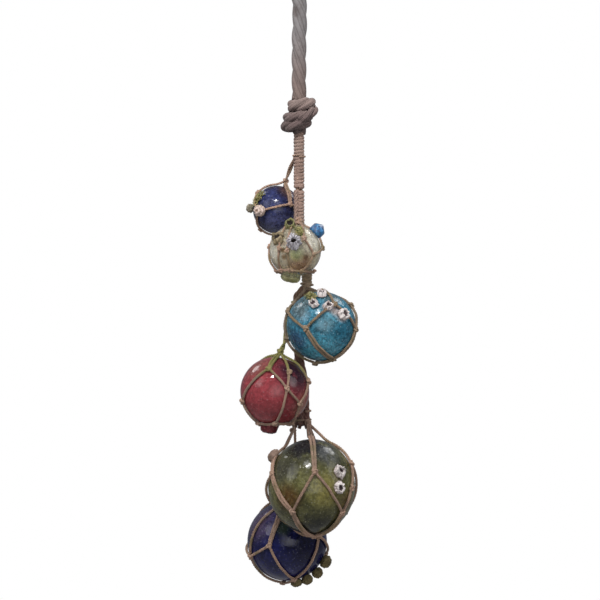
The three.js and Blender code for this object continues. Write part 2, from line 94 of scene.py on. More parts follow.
# Turns of the stopper knot: below its top, aside, overall width, cord, and lean up to the right in degrees
KNOT_TURNS = [(9.5, 2, 36, 17, 26), (26, 2, 53, 19, 25), (44, -4, 45, 19, 12)]

# Middle and half width of the opened strands at shares of the bundle's height
BUNDLE_STATIONS = [
    (0, 10, 7.5), (0.06, 4, 12), (0.18, -1, 11), (0.37, 0, 8),
    (0.51, 0, 7), (0.65, 3, 10), (0.83, 3, 12.5), (1, 1.5, 14.5),
]

# The floats from the top down, in millimetres and degrees of latitude and longitude. Knots are
# (latitude, longitude, lift), and gathered knots lie on the rope's front: (sideways, below the turn).
FLOATS = {
    "cobalt": {
        "width": 68, "height": 68, "twine": 3.8, "hangs": 40, "doubled": True,
        "knots": {
            "top": (71, 59, 6), "right": (11, 32), "northwest": (41, -88), "west": (-6, -48),
            "east": (-8, 104), "back": (22, 172), "southwest": (-50, -92), "south": (-48, 30),
            "base": (-86, 0),
        },
        "pairs": ["top right"],
        "cords": [
            "top northwest west southwest base south east", "west right east", "top back east",
        ],
    },
    "clear": {
        "width": 72, "height": 72, "twine": 3.8, "hangs": 1, "seal": (-80, -90, 27, 9),
        "knots": {
            "top": (72, 160, 6), "upper": (25, 20), "vee": (-9, 43), "side": (5, 84),
            "left": (4, -35), "middle": (-2, -17), "back": (5, 175), "farleft": (8, -110),
            "ring1": (-47, -88), "ring2": (-46, -48), "ring3": (-45, -14), "ring4": (-49, 20),
            "ring5": (-48, 85), "ring6": (-48, 170),
        },
        "pairs": [],
        "cords": [
            "top upper vee ring4", "top side vee", "top left ring2", "top middle ring3",
            "top back ring6", "top farleft ring1", "ring1 ring2 ring3 ring4 ring5 ring6",
            "ring6 ring1",
        ],
    },
    "turquoise": {
        "width": 96.8, "height": 96.8, "twine": 4.4, "hangs": 10,
        "gathered": {"top": (0, 4)},
        "knots": {
            "northwest": (25, -85), "west": (-3, -25), "heart": (37, 26), "east": (-5, 69),
            "northeast": (35, 98), "southeast": (-62, 45), "southwest": (-20, -90),
            "foot": (-80, -80, 1), "back": (-5, 165),
        },
        "pairs": ["west southeast foot", "southeast east"],
        "cords": [
            "top northwest west heart east northeast back", "top heart", "top northeast",
            "northwest southwest foot back", "southwest back",
        ],
    },
    "red": {
        "width": 96, "height": 96, "twine": 4.2, "hangs": 75, "doubled": True,
        "via": [(-19, -24, 22), (-17, -11, 52)], "seal": (-81, -90, 24, 11),
        "knots": {
            "top": (82, 78, 5), "dyed": (40, -12), "fork": (5.5, 20), "shoulder": (33, 28),
            "west": (-15, -66), "east": (-18, 46), "right": (16, 74), "back": (14, 165),
            "farback": (14, -130), "ring1": (-60, -62), "ring2": (-60, 2), "ring3": (-60, 62),
            "ring4": (-60, 150), "ring5": (-60, -125),
        },
        "pairs": ["top dyed"],
        "cords": [
            "top shoulder fork ring2", "ring1 west dyed fork east right top", "east ring3",
            "right back ring4", "top farback ring5", "ring1 ring2 ring3 ring4 ring5",
            "ring5 ring1",
        ],
    },
    "olive": {
        "width": 121, "height": 132, "twine": 4.6, "ties": 14, "turns": 2,
        "gathered": {"tie": (11, 4), "tail": (-10, 14)},
        "knots": {
            "front": (20, 4), "left": (16, -63), "right": (28, 80), "lowleft": (-28, -28),
            "lowright": (-30, 50), "side": (0, 61), "base": (-84, 40), "back": (18, 160),
            "low1": (-32, 118), "low2": (-32, -130),
        },
        "pairs": ["tie front", "tie right", "tail left lowleft base lowright"],
        "cords": [
            "lowleft front lowright side right low1 base", "tie back low1", "left low2 base",
        ],
    },
    "navy": {
        "width": 113, "height": 113, "twine": 4.4, "ties": 28, "clears": 8,
        "knots": {
            "top": (69, 17, 54), "middle": (-3, -25), "left": (-20, -68), "foot": (-62, 20),
            "right": (10, 50), "back": (5, 168), "farback": (5, -130), "east": (-20, 104),
            "base": (-84, -100),
        },
        "pairs": ["top middle"],
        "cords": [
            "top left base foot", "left middle foot right top", "right east back top",
            "back base", "top farback left",
        ],
    },
}

# Glass: clarity is how far light goes through, dust and seeds are the strengths of dirt and bubbles,
# dark is the tone of its clouds, and mottle the strength of streaks and flecks. Patches of another
# colour are (offset in radii, reach in radii, screen colour, strength): some are the glass's own
# tints and stains, and the ones marked below are painted light, painted reflections and painted shade
GLASS = {
    "cobalt": {"tints_and_painted_light": [
        ((-0.25, -0.8, 0.35), 0.7, (58, 64, 108), 0.8),
        # Painted light: the brighter bottom.
        ((0.1, -0.7, -0.7), 0.8, (84, 88, 130), 0.9),
        ((0.45, -0.5, 0.8), 0.6, (84, 62, 58), 0.85),
        ((-0.9, -0.3, -0.3), 0.5, (64, 60, 76), 0.8),
    ], "clarity": 0.25, "dust": 0.45, "seeds": 0.3, "mottle": 0.55},
    "clear": {"tints_and_painted_light": [
        # Painted reflections: the near-white patches at the left and the right.
        ((-0.75, -0.6, -0.05), 0.55, (255, 252, 240), 1.0),
        ((0.65, -0.6, 0.25), 0.5, (255, 252, 240), 1.0),
        ((0.2, -0.8, -0.6), 0.7, (198, 160, 128), 0.9),
        ((-0.42, -0.8, 0.25), 0.16, (142, 108, 66), 0.9),
        ((-0.46, -0.85, 0.0), 0.18, (150, 116, 74), 0.9),
        ((-0.42, -0.8, -0.25), 0.18, (142, 108, 66), 0.9),
        ((0.38, -0.85, -0.3), 0.2, (150, 112, 84), 0.9),
        ((0.05, -0.95, -0.15), 0.4, (182, 190, 138), 0.9),
        ((-0.2, 0.0, -1.1), 0.6, (190, 194, 92), 1.0),
    ], "clarity": 0.7, "dust": 0.35, "seeds": 0.3, "dark": 0.7, "mottle": 0.3},
    "turquoise": {"tints_and_painted_light": [
        # The grey upper left: partly the glass's own tone, partly painted reflection.
        ((-0.6, -0.6, 0.55), 0.65, (100, 108, 106), 0.8),
        ((0.3, -0.5, 0.85), 0.5, (96, 116, 120), 0.8),
        ((0.17, -0.82, 0.55), 0.22, (196, 178, 172), 0.9),
        ((0.38, -0.8, 0.44), 0.22, (196, 178, 172), 0.9),
        ((0.6, -0.75, 0.3), 0.26, (196, 178, 172), 0.9),
        ((0.1, -0.9, 0.15), 0.5, (108, 148, 158), 0.6),
        ((0.6, -0.7, -0.2), 0.5, (44, 108, 132), 0.8),
        # Painted light: the brighter bottom.
        ((0.0, -0.7, -0.75), 0.8, (100, 184, 208), 0.9),
        # Painted shade: the darker lower left.
        ((-0.7, -0.6, -0.4), 0.45, (58, 84, 118), 0.8),
    ], "clarity": 0.3, "seeds": 0.75, "dark": 0.35, "mottle": 0.6},
    "red": {"tints_and_painted_light": [
        ((0.6, -0.5, 0.6), 0.95, (54, 32, 44), 1.0),
        ((0.9, -0.4, -0.45), 0.6, (160, 114, 98), 1.0),
        ((-0.5, -0.5, 0.75), 0.55, (136, 88, 78), 0.8),
        ((-0.1, 0.0, -1.05), 0.5, (92, 40, 48), 1.0),
    ], "clarity": 0.22, "seeds": 0.25, "dark": 0.7, "mottle": 0.3},
    "olive": {"tints_and_painted_light": [
        # Painted shade: the darker top.
        ((-0.1, -0.4, 1.05), 1.1, (44, 44, 46), 1.0),
        ((0.4, -0.6, 0.75), 0.4, (104, 106, 108), 0.6),
        ((-0.7, -0.6, 0.35), 0.45, (70, 68, 58), 0.8),
        ((-0.5, -0.75, -0.2), 0.45, (92, 64, 34), 0.9),
        ((0.3, -0.9, -0.05), 0.55, (136, 128, 72), 0.85),
        # Painted shade: the darker bottom.
        ((0.0, -0.5, -1.05), 1.0, (32, 34, 27), 1.0),
        ((0.8, -0.5, -0.3), 0.4, (122, 102, 66), 0.7),
        ((0.62, -0.75, 0.3), 0.24, (158, 150, 122), 0.8),
        ((0.62, -0.79, 0.02), 0.22, (158, 150, 122), 0.8),
    ], "clarity": 0.18, "seeds": 0.25, "dark": 0.25, "mottle": 0.4},
    "navy": {"tints_and_painted_light": [
        # Painted sheen: the purple-grey upper left.
        ((-0.7, -0.5, 0.5), 0.7, (84, 70, 88), 0.7),
        ((-0.1, -0.9, 0.4), 0.3, (46, 60, 40), 0.8),
        ((0.5, -0.7, -0.1), 0.8, (16, 16, 40), 0.9),
    ], "clarity": 0.1, "seeds": 0.22, "dark": 0.4, "mottle": 0.4},
}

# Shells: (float, kind, latitude, longitude, base, rim, mouth, height) in degrees and millimetres
SHELLS = {
    "grey_barnacle": ("cobalt", "whorl", 3, -90, 14, 11, 6, 7),
    "pink_barnacle": ("cobalt", "whorl", -3, -40, 18, 12, 6, 8),
    "green_barnacle": ("clear", "tube", 66, -31, 15, 13, 8, 9),
    "beige_barnacle": ("clear", "coral", 24, -42, 18, 13, 7, 7),
    "silver_barnacle": ("clear", "plated", 15, -3, 21, 15, 5, 9),
    "white_barnacle_1": ("turquoise", "cup", 60, 2, 13, 10.5, 7.5, 7),
    "white_barnacle_2": ("turquoise", "cup", 38, -14, 13, 10, 7, 7),
    "white_barnacle_3": ("turquoise", "cup", 33, 12, 13, 10, 7, 7),
    "white_barnacle_4": ("turquoise", "cup", 18.5, 38, 16, 12.5, 8.5, 8),
    "white_barnacle_5": ("olive", "plated", 19, 41, 19, 13, 7, 9),
    "white_barnacle_6": ("olive", "cup", 1.5, 38, 18, 13, 7, 9),
    "brown_barnacle_1": ("olive", "knob", 37, -88, 16, 11, 4, 10),
    "brown_barnacle_2": ("navy", "knobbly", -27, 78, 20, 14, 5, 12),
    "brown_barnacle_3": ("navy", "knobbly", -45, 76, 17, 12, 5, 11.5),
    "brown_barnacle_4": ("navy", "knobbly", -59, 63, 17, 12, 5, 11),
    "brown_barnacle_5": ("navy", "knobbly", -71, 42, 17.5, 12, 5, 9),
}
# Rounded shells: (half width as a share of the base, rings, grain, length, height)
ROUNDED = {
    "knobbly": (0.47, 0, 0.14, 1.0, 0.64),
    "whorl": (0.5, 5, 0.12, 0.9, 0.9),
    "knob": (0.5, 0, 0.13, 1.25, 0.7),
}
# Cups: (ribs, their depth, grain, points on the rim, unevenness)
CUPS = {
    "cup": (8, 0.1, 0.08, 0.25, 0.22),
    "tube": (7, 0.06, 0.05, 0.1, 0.06),
    "plated": (13, 0.09, 0.14, 0.3, 0.3),
    "coral": (9, 0.1, 0.16, 0.2, 0.3),
}
TUBE_TIP = 0.7
BEAD = {"float": "clear", "place": (42, 95), "lift": 5, "width": 23}

# Moss: (float, [(latitude, longitude, width), ...])
MOSS = {
    "cobalt_float_moss": ("cobalt", [(34, -54, 14), (20, -62, 14)]),
    "clear_float_moss": ("clear", [(50, 12, 11), (40, 16, 9)]),
    "turquoise_float_moss": ("turquoise", [(54, -26, 14), (62, -44, 12)]),
}

# The photograph's frame: its size in pixels, what one pixel is on the rope in millimetres, the places
# of its left and top edges, and the width of the camera's sensor
PHOTO_PIXELS = 600
PIXEL = 1.4
PHOTO_LEFT_X = -299 * PIXEL
PHOTO_TOP_Z = -185
SENSOR_WIDTH = 36

# Lamps: (place from what they look at, width, power) in metres and watts
LAMPS = {
    "key_light": ((-0.4, -1.7, 1.7), 0.36, 6),
    "front_light": ((0.3, -2.6, 0.1), 3.0, 5.5),
    "left_light": ((-1.9, -1.1, 0.9), 1.6, 2.4),
    "right_light": ((1.9, -0.7, 0.9), 1.4, 2),
    "left_back_light": ((-1.2, 0.9, 1.1), 0.7, 0.9),
    "right_back_light": ((1.0, 0.9, 1.2), 0.7, 0.9),
}
# Degrees of a lamp's beam, and how far above the object's middle the lamps look, in metres
LAMP_SPREAD = 64
LAMP_AIM_RISE = 0.1
# The room that lights the object, and how white it is behind glass
ROOM_COLOUR = (0.86, 0.9, 1.0, 1)
ROOM_STRENGTH = 0.22
WHITE_THROUGH_GLASS = 0.5
# The floor's radius in metres, and its glow, which only the camera sees
FLOOR_RADIUS = 4
FLOOR_GLOW = 0.8

GLASS_IOR = 1.45
# Shells and lumps of moss stay at least this far off the glass
SKIN_GAP = 0.15 * MM
# Diameter of the seizing's twine, in millimetres
SEIZING_TWINE = 4.6
# Seeds of the random draws, and of the noise vectors, which would differ from run to run without one
BUNDLE_SEED = 11
MOSS_SEED = 100
NOISE_SEED = 5


def number_of(name):
    """A number of its own for a name, the same on every run."""
    return sum(map(ord, name)) * 0.37


def linear(red, green, blue):
    """A colour of 0 to 255, as a screen shows it, in scene-linear values."""
    shares = (red / 255, green / 255, blue / 255)
    return tuple(c / 12.92 if c <= 0.04045 else ((c + 0.055) / 1.055) ** 2.4 for c in shares)


def clamped(value, low=0.0, high=1.0):
    return max(low, min(high, value))


def metres(*point):
    """A point in millimetres as a vector in metres."""
    return Vector(point) * MM


# Settings

def length_setting(name, description, metres_long):
    return bpy.props.FloatProperty(
        name=name, description=description, default=metres_long, unit="LENGTH")


def colour_setting(name, description, *screen):
    return bpy.props.FloatVectorProperty(
        name=name, description=description, default=linear(*screen), subtype="COLOR", size=3)


class FloatRopeSettings(bpy.types.PropertyGroup):
    """Rope and serving"""
    lay: length_setting("Rope lay", "Length of rope in which a strand goes once round", 92 * MM)
    core_lay: length_setting(
        "Core lay", "Length of the thin core in which a strand goes once round", 30 * MM)
    upper_colour: colour_setting("Upper rope", "Sun-bleached rope above the knot", 128, 124, 124)
    lower_colour: colour_setting("Lower rope", "Rope near and in the knot", 122, 104, 98)
    serving_colour: colour_setting("Serving", "Twine wound round the core", 158, 131, 119)
    old_colour: colour_setting("Old rope", "Core and opened strands", 124, 100, 82)


class FloatNetSettings(bpy.types.PropertyGroup):
    """Nets"""
    lay: bpy.props.FloatProperty(
        name="Twine lay", description="Turn of the twine's strands, as a share of its diameter",
        default=2.8)
    wander: length_setting("Wander", "How far a cord strays from the shortest way", 0.7 * MM)
    twine_colour: colour_setting("Twine", "Weathered twine of most nets", 184, 151, 130)
    grey_colour: colour_setting("Grey twine", "Twine of the turquoise float's net", 158, 136, 112)
    dyed_colour: colour_setting("Dyed twine", "Green top of the red float's net", 126, 128, 62)


class FloatGlassSettings(bpy.types.PropertyGroup):
    """Glass"""
    wall: length_setting("Wall", "Thickness of the blown glass", 3 * MM)
    unevenness: length_setting("Unevenness", "How far the blown surface leaves the round", 0.4 * MM)
    cobalt: colour_setting("Cobalt", "Glass of the first float", 46, 50, 88)
    clear: colour_setting("Clear", "Glass of the second float", 226, 218, 196)
    turquoise: colour_setting("Turquoise", "Glass of the third float", 68, 140, 166)
    red: colour_setting("Red", "Glass of the fourth float", 158, 68, 74)
    olive: colour_setting("Olive", "Glass of the fifth float", 112, 110, 68)
    navy: colour_setting("Navy", "Glass of the sixth float", 28, 31, 82)


class FloatGrowthSettings(bpy.types.PropertyGroup):
    """Shells and moss"""
    fronds: bpy.props.IntProperty(
        name="Fronds", description="Fronds on each lump of moss", default=90)
    frond_length: length_setting("Frond length", "Length of a frond of moss", 5.5 * MM)
    white: colour_setting("White shell", "Chalky shells", 236, 228, 224)
    brown: colour_setting("Brown shell", "Knobbly shells", 106, 94, 60)
    moss: colour_setting("Moss", "Dry moss", 170, 160, 108)


class FloatStageSettings(bpy.types.PropertyGroup):
    """Floor, light and camera"""
    distance: length_setting("Camera distance", "From the rope to the camera", 5)
    floor_gap: length_setting("Floor gap", "From the lowest float to the floor", 0.46)
    floor_colour: colour_setting("Floor", "Plain pale floor", 214, 212, 208)


# Lines

def between(a, b, c, d, share):
    """A point on the centripetal curve from b to c, with a before and d after."""
    first = (b - a).length ** 0.5
    second = first + (c - b).length ** 0.5
    third = second + (d - c).length ** 0.5
    at = first + (second - first) * share
    ab = a.lerp(b, at / first)
    bc = b.lerp(c, (at - first) / (second - first))
    cd = c.lerp(d, (at - second) / (third - second))
    abc = ab.lerp(bc, at / second)
    bcd = bc.lerp(cd, (at - first) / (third - first))
    return abc.lerp(bcd, (at - first) / (second - first))


def length_of(points):
    return sum((b - a).length for a, b in zip(points, points[1:]))


def evenly(points, step):
    """Points at an even step along a line of straight pieces."""
    total = length_of(points)
    count = max(3, round(total / step))
    spots, travelled, i = [points[0].copy()], 0.0, 0
    for n in range(1, count):
        target = total * n / count
        while travelled + (points[i + 1] - points[i]).length < target:
            travelled += (points[i + 1] - points[i]).length
            i += 1
        piece = (points[i + 1] - points[i]).length
        spots.append(points[i].lerp(points[i + 1], (target - travelled) / piece))
    spots.append(points[-1].copy())
    return spots


def smooth_line(knots, step):
    """Even points on a smooth line through the knots."""
    ends = [knots[0] * 2 - knots[1], *knots, knots[-1] * 2 - knots[-2]]
    parts = 12
    dense = [knots[0].copy()]
    for a, b, c, d in zip(ends, ends[1:], ends[2:], ends[3:]):
        dense += [between(a, b, c, d, i / parts) for i in range(1, parts + 1)]
    return evenly(dense, step)


def frames_along(points):
    """The direction at each point, and two directions across it that turn as little as they can."""
    last = len(points) - 1
    across = None
    frames = []
    for i in range(len(points)):
        ahead = (points[min(i + 1, last)] - points[max(i - 1, 0)]).normalized()
        if across is None:
            across = ahead.orthogonal().normalized()
        across = (across - ahead * across.dot(ahead)).normalized()
        frames.append((ahead, across, ahead.cross(across)))
    return frames


def strands_round(points, reach, strands, lay, hand=-1, start=0.0):
    """Lines of strands that wind round a line at a reach from it. hand is 1 or -1."""
    lines = [[] for _ in range(strands)]
    travelled = 0.0
    before = points[0]
    for point, (_, across, beyond) in zip(points, frames_along(points)):
        travelled += (point - before).length
        before = point
        for n, line in enumerate(lines):
            angle = start + hand * FULL_TURN * travelled / lay + FULL_TURN * n / strands
            line.append(point + (across * math.cos(angle) + beyond * math.sin(angle)) * reach)
    return lines


# Meshes

def deselect():
    bpy.ops.object.select_all(action="DESELECT")
    bpy.context.view_layer.objects.active = None


def select_only(piece):
    deselect()
    piece.select_set(True)
    bpy.context.view_layer.objects.active = piece


def started(shape, **sizes):
    """A new mesh object from one of the basic shapes."""
    deselect()
    getattr(bpy.ops.mesh, f"primitive_{shape}_add")(**sizes)
    return bpy.context.active_object


def joined(name, pieces):
    """Several mesh objects as one, with doubled points merged."""
    deselect()
    for piece in pieces:
        piece.select_set(True)
    bpy.context.view_layer.objects.active = pieces[0]
    if len(pieces) > 1:
        bpy.ops.object.join()
    whole = bpy.context.view_layer.objects.active
    whole.name = name
    whole.data.name = name
    bpy.ops.object.mode_set(mode="EDIT")
    bpy.ops.mesh.select_all(action="SELECT")
    bpy.ops.mesh.remove_doubles(threshold=1e-7)
    bpy.ops.object.mode_set(mode="OBJECT")
    bpy.ops.object.shade_smooth()
    return whole


def cords_of(lines, roundness=1, aged=0.0):
    """Round cords as mesh objects. Each line is (points, diameter, closed, taper). The UV map runs
    along in metres and once around, and the aged attribute is the same all over each cord."""
    made = []
    deselect()
    for points, diameter, closed, taper in lines:
        curve = bpy.data.curves.new("cord", "CURVE")
        curve.dimensions = "3D"
        curve.bevel_depth = diameter / 2
        curve.bevel_resolution = roundness
        curve.use_fill_caps = not closed
        spline = curve.splines.new("POLY")
        spline.points.add(len(points) - 1)
        last = len(points) - 1
        for i, (spot, point) in enumerate(zip(spline.points, points)):
            spot.co = (*point, 1)
            nearest = min(i, last - i)
            spot.radius = min(1.0, 0.45 + 0.3 * nearest) if taper else 1.0
        spline.use_cyclic_u = closed
        piece = bpy.data.objects.new("cord", curve)
        bpy.context.scene.collection.objects.link(piece)
        piece.select_set(True)
        made.append((piece, length_of(points)))
    bpy.context.view_layer.objects.active = made[0][0]
    bpy.ops.object.convert(target="MESH")
    for piece, length in made:
        for corner in piece.data.uv_layers[0].data:
            corner.uv = (corner.uv[0] * length, corner.uv[1])
        if aged:
            tone = piece.data.attributes.new("aged", "FLOAT", "POINT")
            tone.data.foreach_set("value", [aged] * len(tone.data))
    return [piece for piece, _ in made]


def laid(points, diameter, lay, strands=3, hand=-1, start=0.0, swell=0.52):
    """The cords of a laid rope or twine along a line. A swell of 0.5 is smooth and 0.26 deep-laid."""
    lines = strands_round(points, diameter * (0.5 - swell / 2), strands, lay, hand, start)
    return [(line, diameter * swell, False, False) for line in lines]


def reshape(piece, change):
    """Moves every point of a mesh."""
    for vertex in piece.data.vertices:
        vertex.co = change(vertex.co.copy())
    piece.data.update()


def pick_faces(piece, wanted):
    """Selects, in edit mode, the faces whose middle and normal pass a test."""
    mesh = bmesh.from_edit_mesh(piece.data)
    for face in mesh.faces:
        face.select_set(False)
    for face in mesh.faces:
        if wanted(face.calc_center_median(), face.normal):
            face.select_set(True)
    bmesh.update_edit_mesh(piece.data)


def apply_modifier(piece, kind, **settings):
    """Adds a modifier and applies it."""
    select_only(piece)
    modifier = piece.modifiers.new(kind.title(), kind)
    for name, value in settings.items():
        setattr(modifier, name, value)
    bpy.ops.object.modifier_apply(modifier=modifier.name)


def settle(piece, finish, slot, *nodes):
    """Gives a finished piece its material and puts it in the place of its CAD nodes."""
    piece.data.materials.clear()
    piece.data.materials.append(finish)
    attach(piece, BODY)
    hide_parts(*nodes)
    return piece


# Materials

class Wire:
    """A socket of a material that takes part in Python arithmetic."""

    def __init__(self, finish, socket):
        self.finish = finish
        self.socket = socket

    def maths(self, operation, first, second):
        return self.finish.node("ShaderNodeMath", {"operation": operation}, {0: first, 1: second})

    def __add__(self, other):
        return self.maths("ADD", self, other)

    def __radd__(self, other):
        return self.maths("ADD", other, self)

    def __sub__(self, other):
        return self.maths("SUBTRACT", self, other)

    def __rsub__(self, other):
        return self.maths("SUBTRACT", other, self)

    def __mul__(self, other):
        return self.maths("MULTIPLY", self, other)


class Finish:
    """A material of Principled nodes, built from values, links and arithmetic."""

    def __init__(self, name):
        self.material = bpy.data.materials.new(name)
        self.material.use_nodes = True
        self.tree = self.material.node_tree
        self.shader = self.tree.nodes["Principled BSDF"]

    def feed(self, socket, value):
        """Links a wire to a socket, or sets its value."""
        if isinstance(value, Wire):
            self.tree.links.new(value.socket, socket)
        elif socket.type == "RGBA":
            socket.default_value = (*value[:3], 1)
        else:
            socket.default_value = value

    def node(self, kind, settings=None, sockets=None, output=0):
        """Adds a node of a type, with its settings and the values or links of its sockets."""
        made = self.tree.nodes.new(kind)
        for name, value in (settings or {}).items():
            setattr(made, name, value)
        for name, value in (sockets or {}).items():
            self.feed(made.inputs[name], value)
        return Wire(self, made.outputs[output])

    def set(self, **values):
        """Sets or links the shader's own sockets."""
        for name, value in values.items():
            self.feed(self.shader.inputs[name.replace("_", " ")], value)

    def place(self):
        return self.node("ShaderNodeTexCoord", output="Object")

    def along_and_around(self):
        """The UV map's two numbers: along a cord in metres, and around it from 0 to 1."""
        split = self.node("ShaderNodeSeparateXYZ", {}, {0: self.node("ShaderNodeTexCoord", output="UV")})
        return split, Wire(self, split.socket.node.outputs[1])

    def vector(self, x, y, z):
        return self.node("ShaderNodeCombineXYZ", {}, {0: x, 1: y, 2: z})

    def part(self, vector, index):
        """One number of a vector."""
        return self.node("ShaderNodeSeparateXYZ", {}, {0: vector}, output=index)

    def noise(self, vector, scale, detail=3.0, rough=0.55):
        return self.node("ShaderNodeTexNoise", {"noise_dimensions": "3D"}, {
            "Vector": vector, "Scale": scale, "Detail": detail, "Roughness": rough,
        })

    def cells(self, vector, scale):
        return self.node("ShaderNodeTexVoronoi", {}, {"Vector": vector, "Scale": scale})

    def ease(self, value, low, high):
        """0 below low and 1 above high, smooth between. With low over high it falls."""
        return self.node("ShaderNodeMapRange", {"interpolation_type": "SMOOTHSTEP"}, {
            "Value": value, "From Min": low, "From Max": high,
        })

    def blend(self, first, second, share):
        """From the first colour to the second."""
        return self.node("ShaderNodeMix", {"data_type": "RGBA"}, {
            "Factor": share, 6: first, 7: second,
        }, output=2)

    def near(self, place, centre, reach):
        """1 at a place on the object, falling to 0 at a reach from it."""
        away = self.node("ShaderNodeVectorMath", {"operation": "DISTANCE"}, {0: place, 1: centre},
                         output="Value")
        return self.ease(away, reach, reach * 0.25)

    def bump(self, height, strength, distance):
        return self.node("ShaderNodeBump", {}, {
            "Height": height, "Strength": strength, "Distance": distance,
        })


def rope_finish(
        name, colour, low_colour=None, fade=(0, 0), yarns=5, yarn_turn=110, dark=0.42, groove_shade=0.55,
        mould=0.0):
    """Laid fibre: yarns that twist along the UV map, fine fibres, stains from place to place, and painted
    shade in the grooves between the yarns. The aged attribute darkens a cord, and mould tints it green in
    patches."""
    finish = Finish(name)
    place = finish.place()
    along, around = finish.along_and_around()
    phase = around * yarns + along * yarn_turn
    ridge = finish.node("ShaderNodeMath", {"operation": "PINGPONG"}, {0: phase, 1: 0.5}) * 2
    fibre = finish.noise(finish.vector(phase * 3, along * 120, around * 2), 2.2, 4.0, 0.7)
    stain = finish.noise(place, 42, 4.0, 0.6)
    patch = finish.noise(place, 11, 2.0)
    speck = finish.noise(place, 190, 3.0, 0.6)
    aged = finish.node("ShaderNodeAttribute", {"attribute_name": "aged"}, output="Fac")
    base = colour
    if low_colour:
        height = finish.part(place, 2) + (stain - 0.5) * 30 * MM
        base = finish.blend(colour, low_colour, finish.ease(height, fade[0] * MM, fade[1] * MM))
    base = finish.blend(base, linear(62, 46, 38), aged * 0.75)
    shade = tuple(c * dark for c in (low_colour or colour))
    shaded = finish.blend(base, shade, finish.ease(stain, 0.5, 0.78) * 0.75)
    shaded = finish.blend(shaded, shade, finish.ease(speck, 0.5, 0.75) * 0.5)
    greyed = finish.blend(shaded, linear(128, 124, 116), finish.ease(patch, 0.5, 0.75) * 0.35)
    if mould:
        growth = finish.ease(finish.noise(place, 33, 3.0), 0.5, 0.66)
        greyed = finish.blend(greyed, linear(98, 98, 50), growth * mould)
    # Painted shade: the grooves between the yarns are darkened.
    groove_shaded = finish.blend(greyed, linear(48, 36, 30), (1 - finish.ease(ridge, 0.0, 0.4)) * groove_shade)
    bright = finish.blend(groove_shaded, linear(206, 190, 172), finish.ease(fibre, 0.56, 0.8) * 0.4)
    rough_yarn = finish.bump(ridge * 0.7 + fibre * 0.5, 0.7, 0.7 * MM)
    finish.set(
        Base_Color=bright, Roughness=0.93, Normal=rough_yarn, Specular_IOR_Level=0.2, Sheen_Weight=0.08)
    return finish


def dyed_twine(name, colour, dye, low, high):
    """Twine whose upper part is dyed green."""
    finish = rope_finish(name, colour)
    place = finish.place()
    stray = (finish.noise(place, 60, 2.0) - 0.5) * 40 * MM
    height = finish.part(place, 2) + stray
    base = finish.shader.inputs["Base Color"].links[0].from_socket
    tinted = finish.blend(Wire(finish, base), dye, finish.ease(height, low, high) * 0.8)
    finish.set(Base_Color=tinted)
    return finish


def glass_finish(ball, body, tints_and_painted_light, clarity, seeds, mottle, dust=0.35, dark=0.45):
    """Blown glass: clouds, flecks and streaks in its colour, patches, some of them its own tints and some
    painted light, painted reflections and painted shade, bubbles, dust and a wavy skin.
    """
    finish = Finish(f"{ball.name}_glass")
    place = finish.place()
    cloud = finish.noise(place, 26, 3.0)
    streak = finish.noise(finish.node("ShaderNodeVectorMath", {"operation": "MULTIPLY"}, {
        0: place, 1: (55, 55, 22),
    }), 1.0, 4.0, 0.65)
    fleck = finish.noise(place, 230, 5.0, 0.75)
    shadow = tuple(c * dark for c in body)
    light = tuple(min(1.0, c * 1.6 + 0.05) for c in body)
    colour = finish.blend(body, shadow, finish.ease(cloud, 0.42, 0.68) * 0.8)
    colour = finish.blend(colour, light, finish.ease(streak, 0.56, 0.72) * mottle)
    # Patches: tints of the glass, and painted light, painted reflections and painted shade.
    for offset, reach, shade, strength in tints_and_painted_light:
        centre = ball.centre + Vector(offset) * ball.radii.x
        ragged = finish.near(place, centre, reach * ball.radii.x) * strength
        colour = finish.blend(colour, linear(*shade), ragged * finish.ease(streak, 0.2, 0.5))
    colour = finish.node("ShaderNodeVectorMath", {"operation": "SCALE"}, {
        0: colour, "Scale": 1 + (finish.ease(fleck, 0.38, 0.62) - 0.5) * mottle * 1.6,
    })
    fine = finish.cells(place, 210)
    coarse = finish.cells(place, 95)
    bubbles = (1 - finish.ease(fine, 0.1, 0.26)) * 0.7 + (1 - finish.ease(coarse, 0.05, 0.13))
    colour = finish.blend(colour, tuple(min(1.0, c * 1.3 + 0.35) for c in body), bubbles * seeds)
    smudge = finish.noise(place, 60, 5.0, 0.7)
    wave = finish.noise(place, 75, 3.0)
    skin = finish.bump(wave + bubbles * 0.2, 0.4, 1.6 * MM)
    finish.set(
        Base_Color=colour, Roughness=0.08 + finish.ease(smudge, 0.45, 0.75) * dust, Normal=skin,
        Transmission_Weight=clarity, IOR=GLASS_IOR, Specular_IOR_Level=0.36)
    return finish


def shell_finish(name, colour, stain, mouth=linear(44, 36, 33)):
    """Chalky shell with a stained foot, fine grain, dark seams, and painted shade in its mouth."""
    finish = Finish(name)
    place = finish.place()
    inside = finish.node("ShaderNodeAttribute", {"attribute_name": "mouth"}, output="Fac")
    foot = finish.node("ShaderNodeAttribute", {"attribute_name": "foot"}, output="Fac")
    seam = finish.node("ShaderNodeAttribute", {"attribute_name": "seam"}, output="Fac")
    speck = finish.noise(place, 300, 4.0, 0.7)
    patch = finish.noise(place, 130, 2.0)
    base = finish.blend(colour, stain, finish.ease(patch, 0.45, 0.7) * 0.7)
    base = finish.blend(base, stain, foot * 0.8)
    worn = finish.ease(finish.noise(place, 240, 2.0), 0.4, 0.6)
    base = finish.blend(base, tuple(c * 0.4 for c in stain), seam * worn * 0.8)
    base = finish.blend(base, tuple(c * 0.45 for c in stain), finish.ease(speck, 0.55, 0.72) * 0.6)
    # Painted shade in the mouth.
    base = finish.blend(base, mouth, inside)
    grainy = finish.bump(speck, 0.6, 0.5 * MM)
    finish.set(Base_Color=base, Roughness=0.85, Normal=grainy)
    return finish


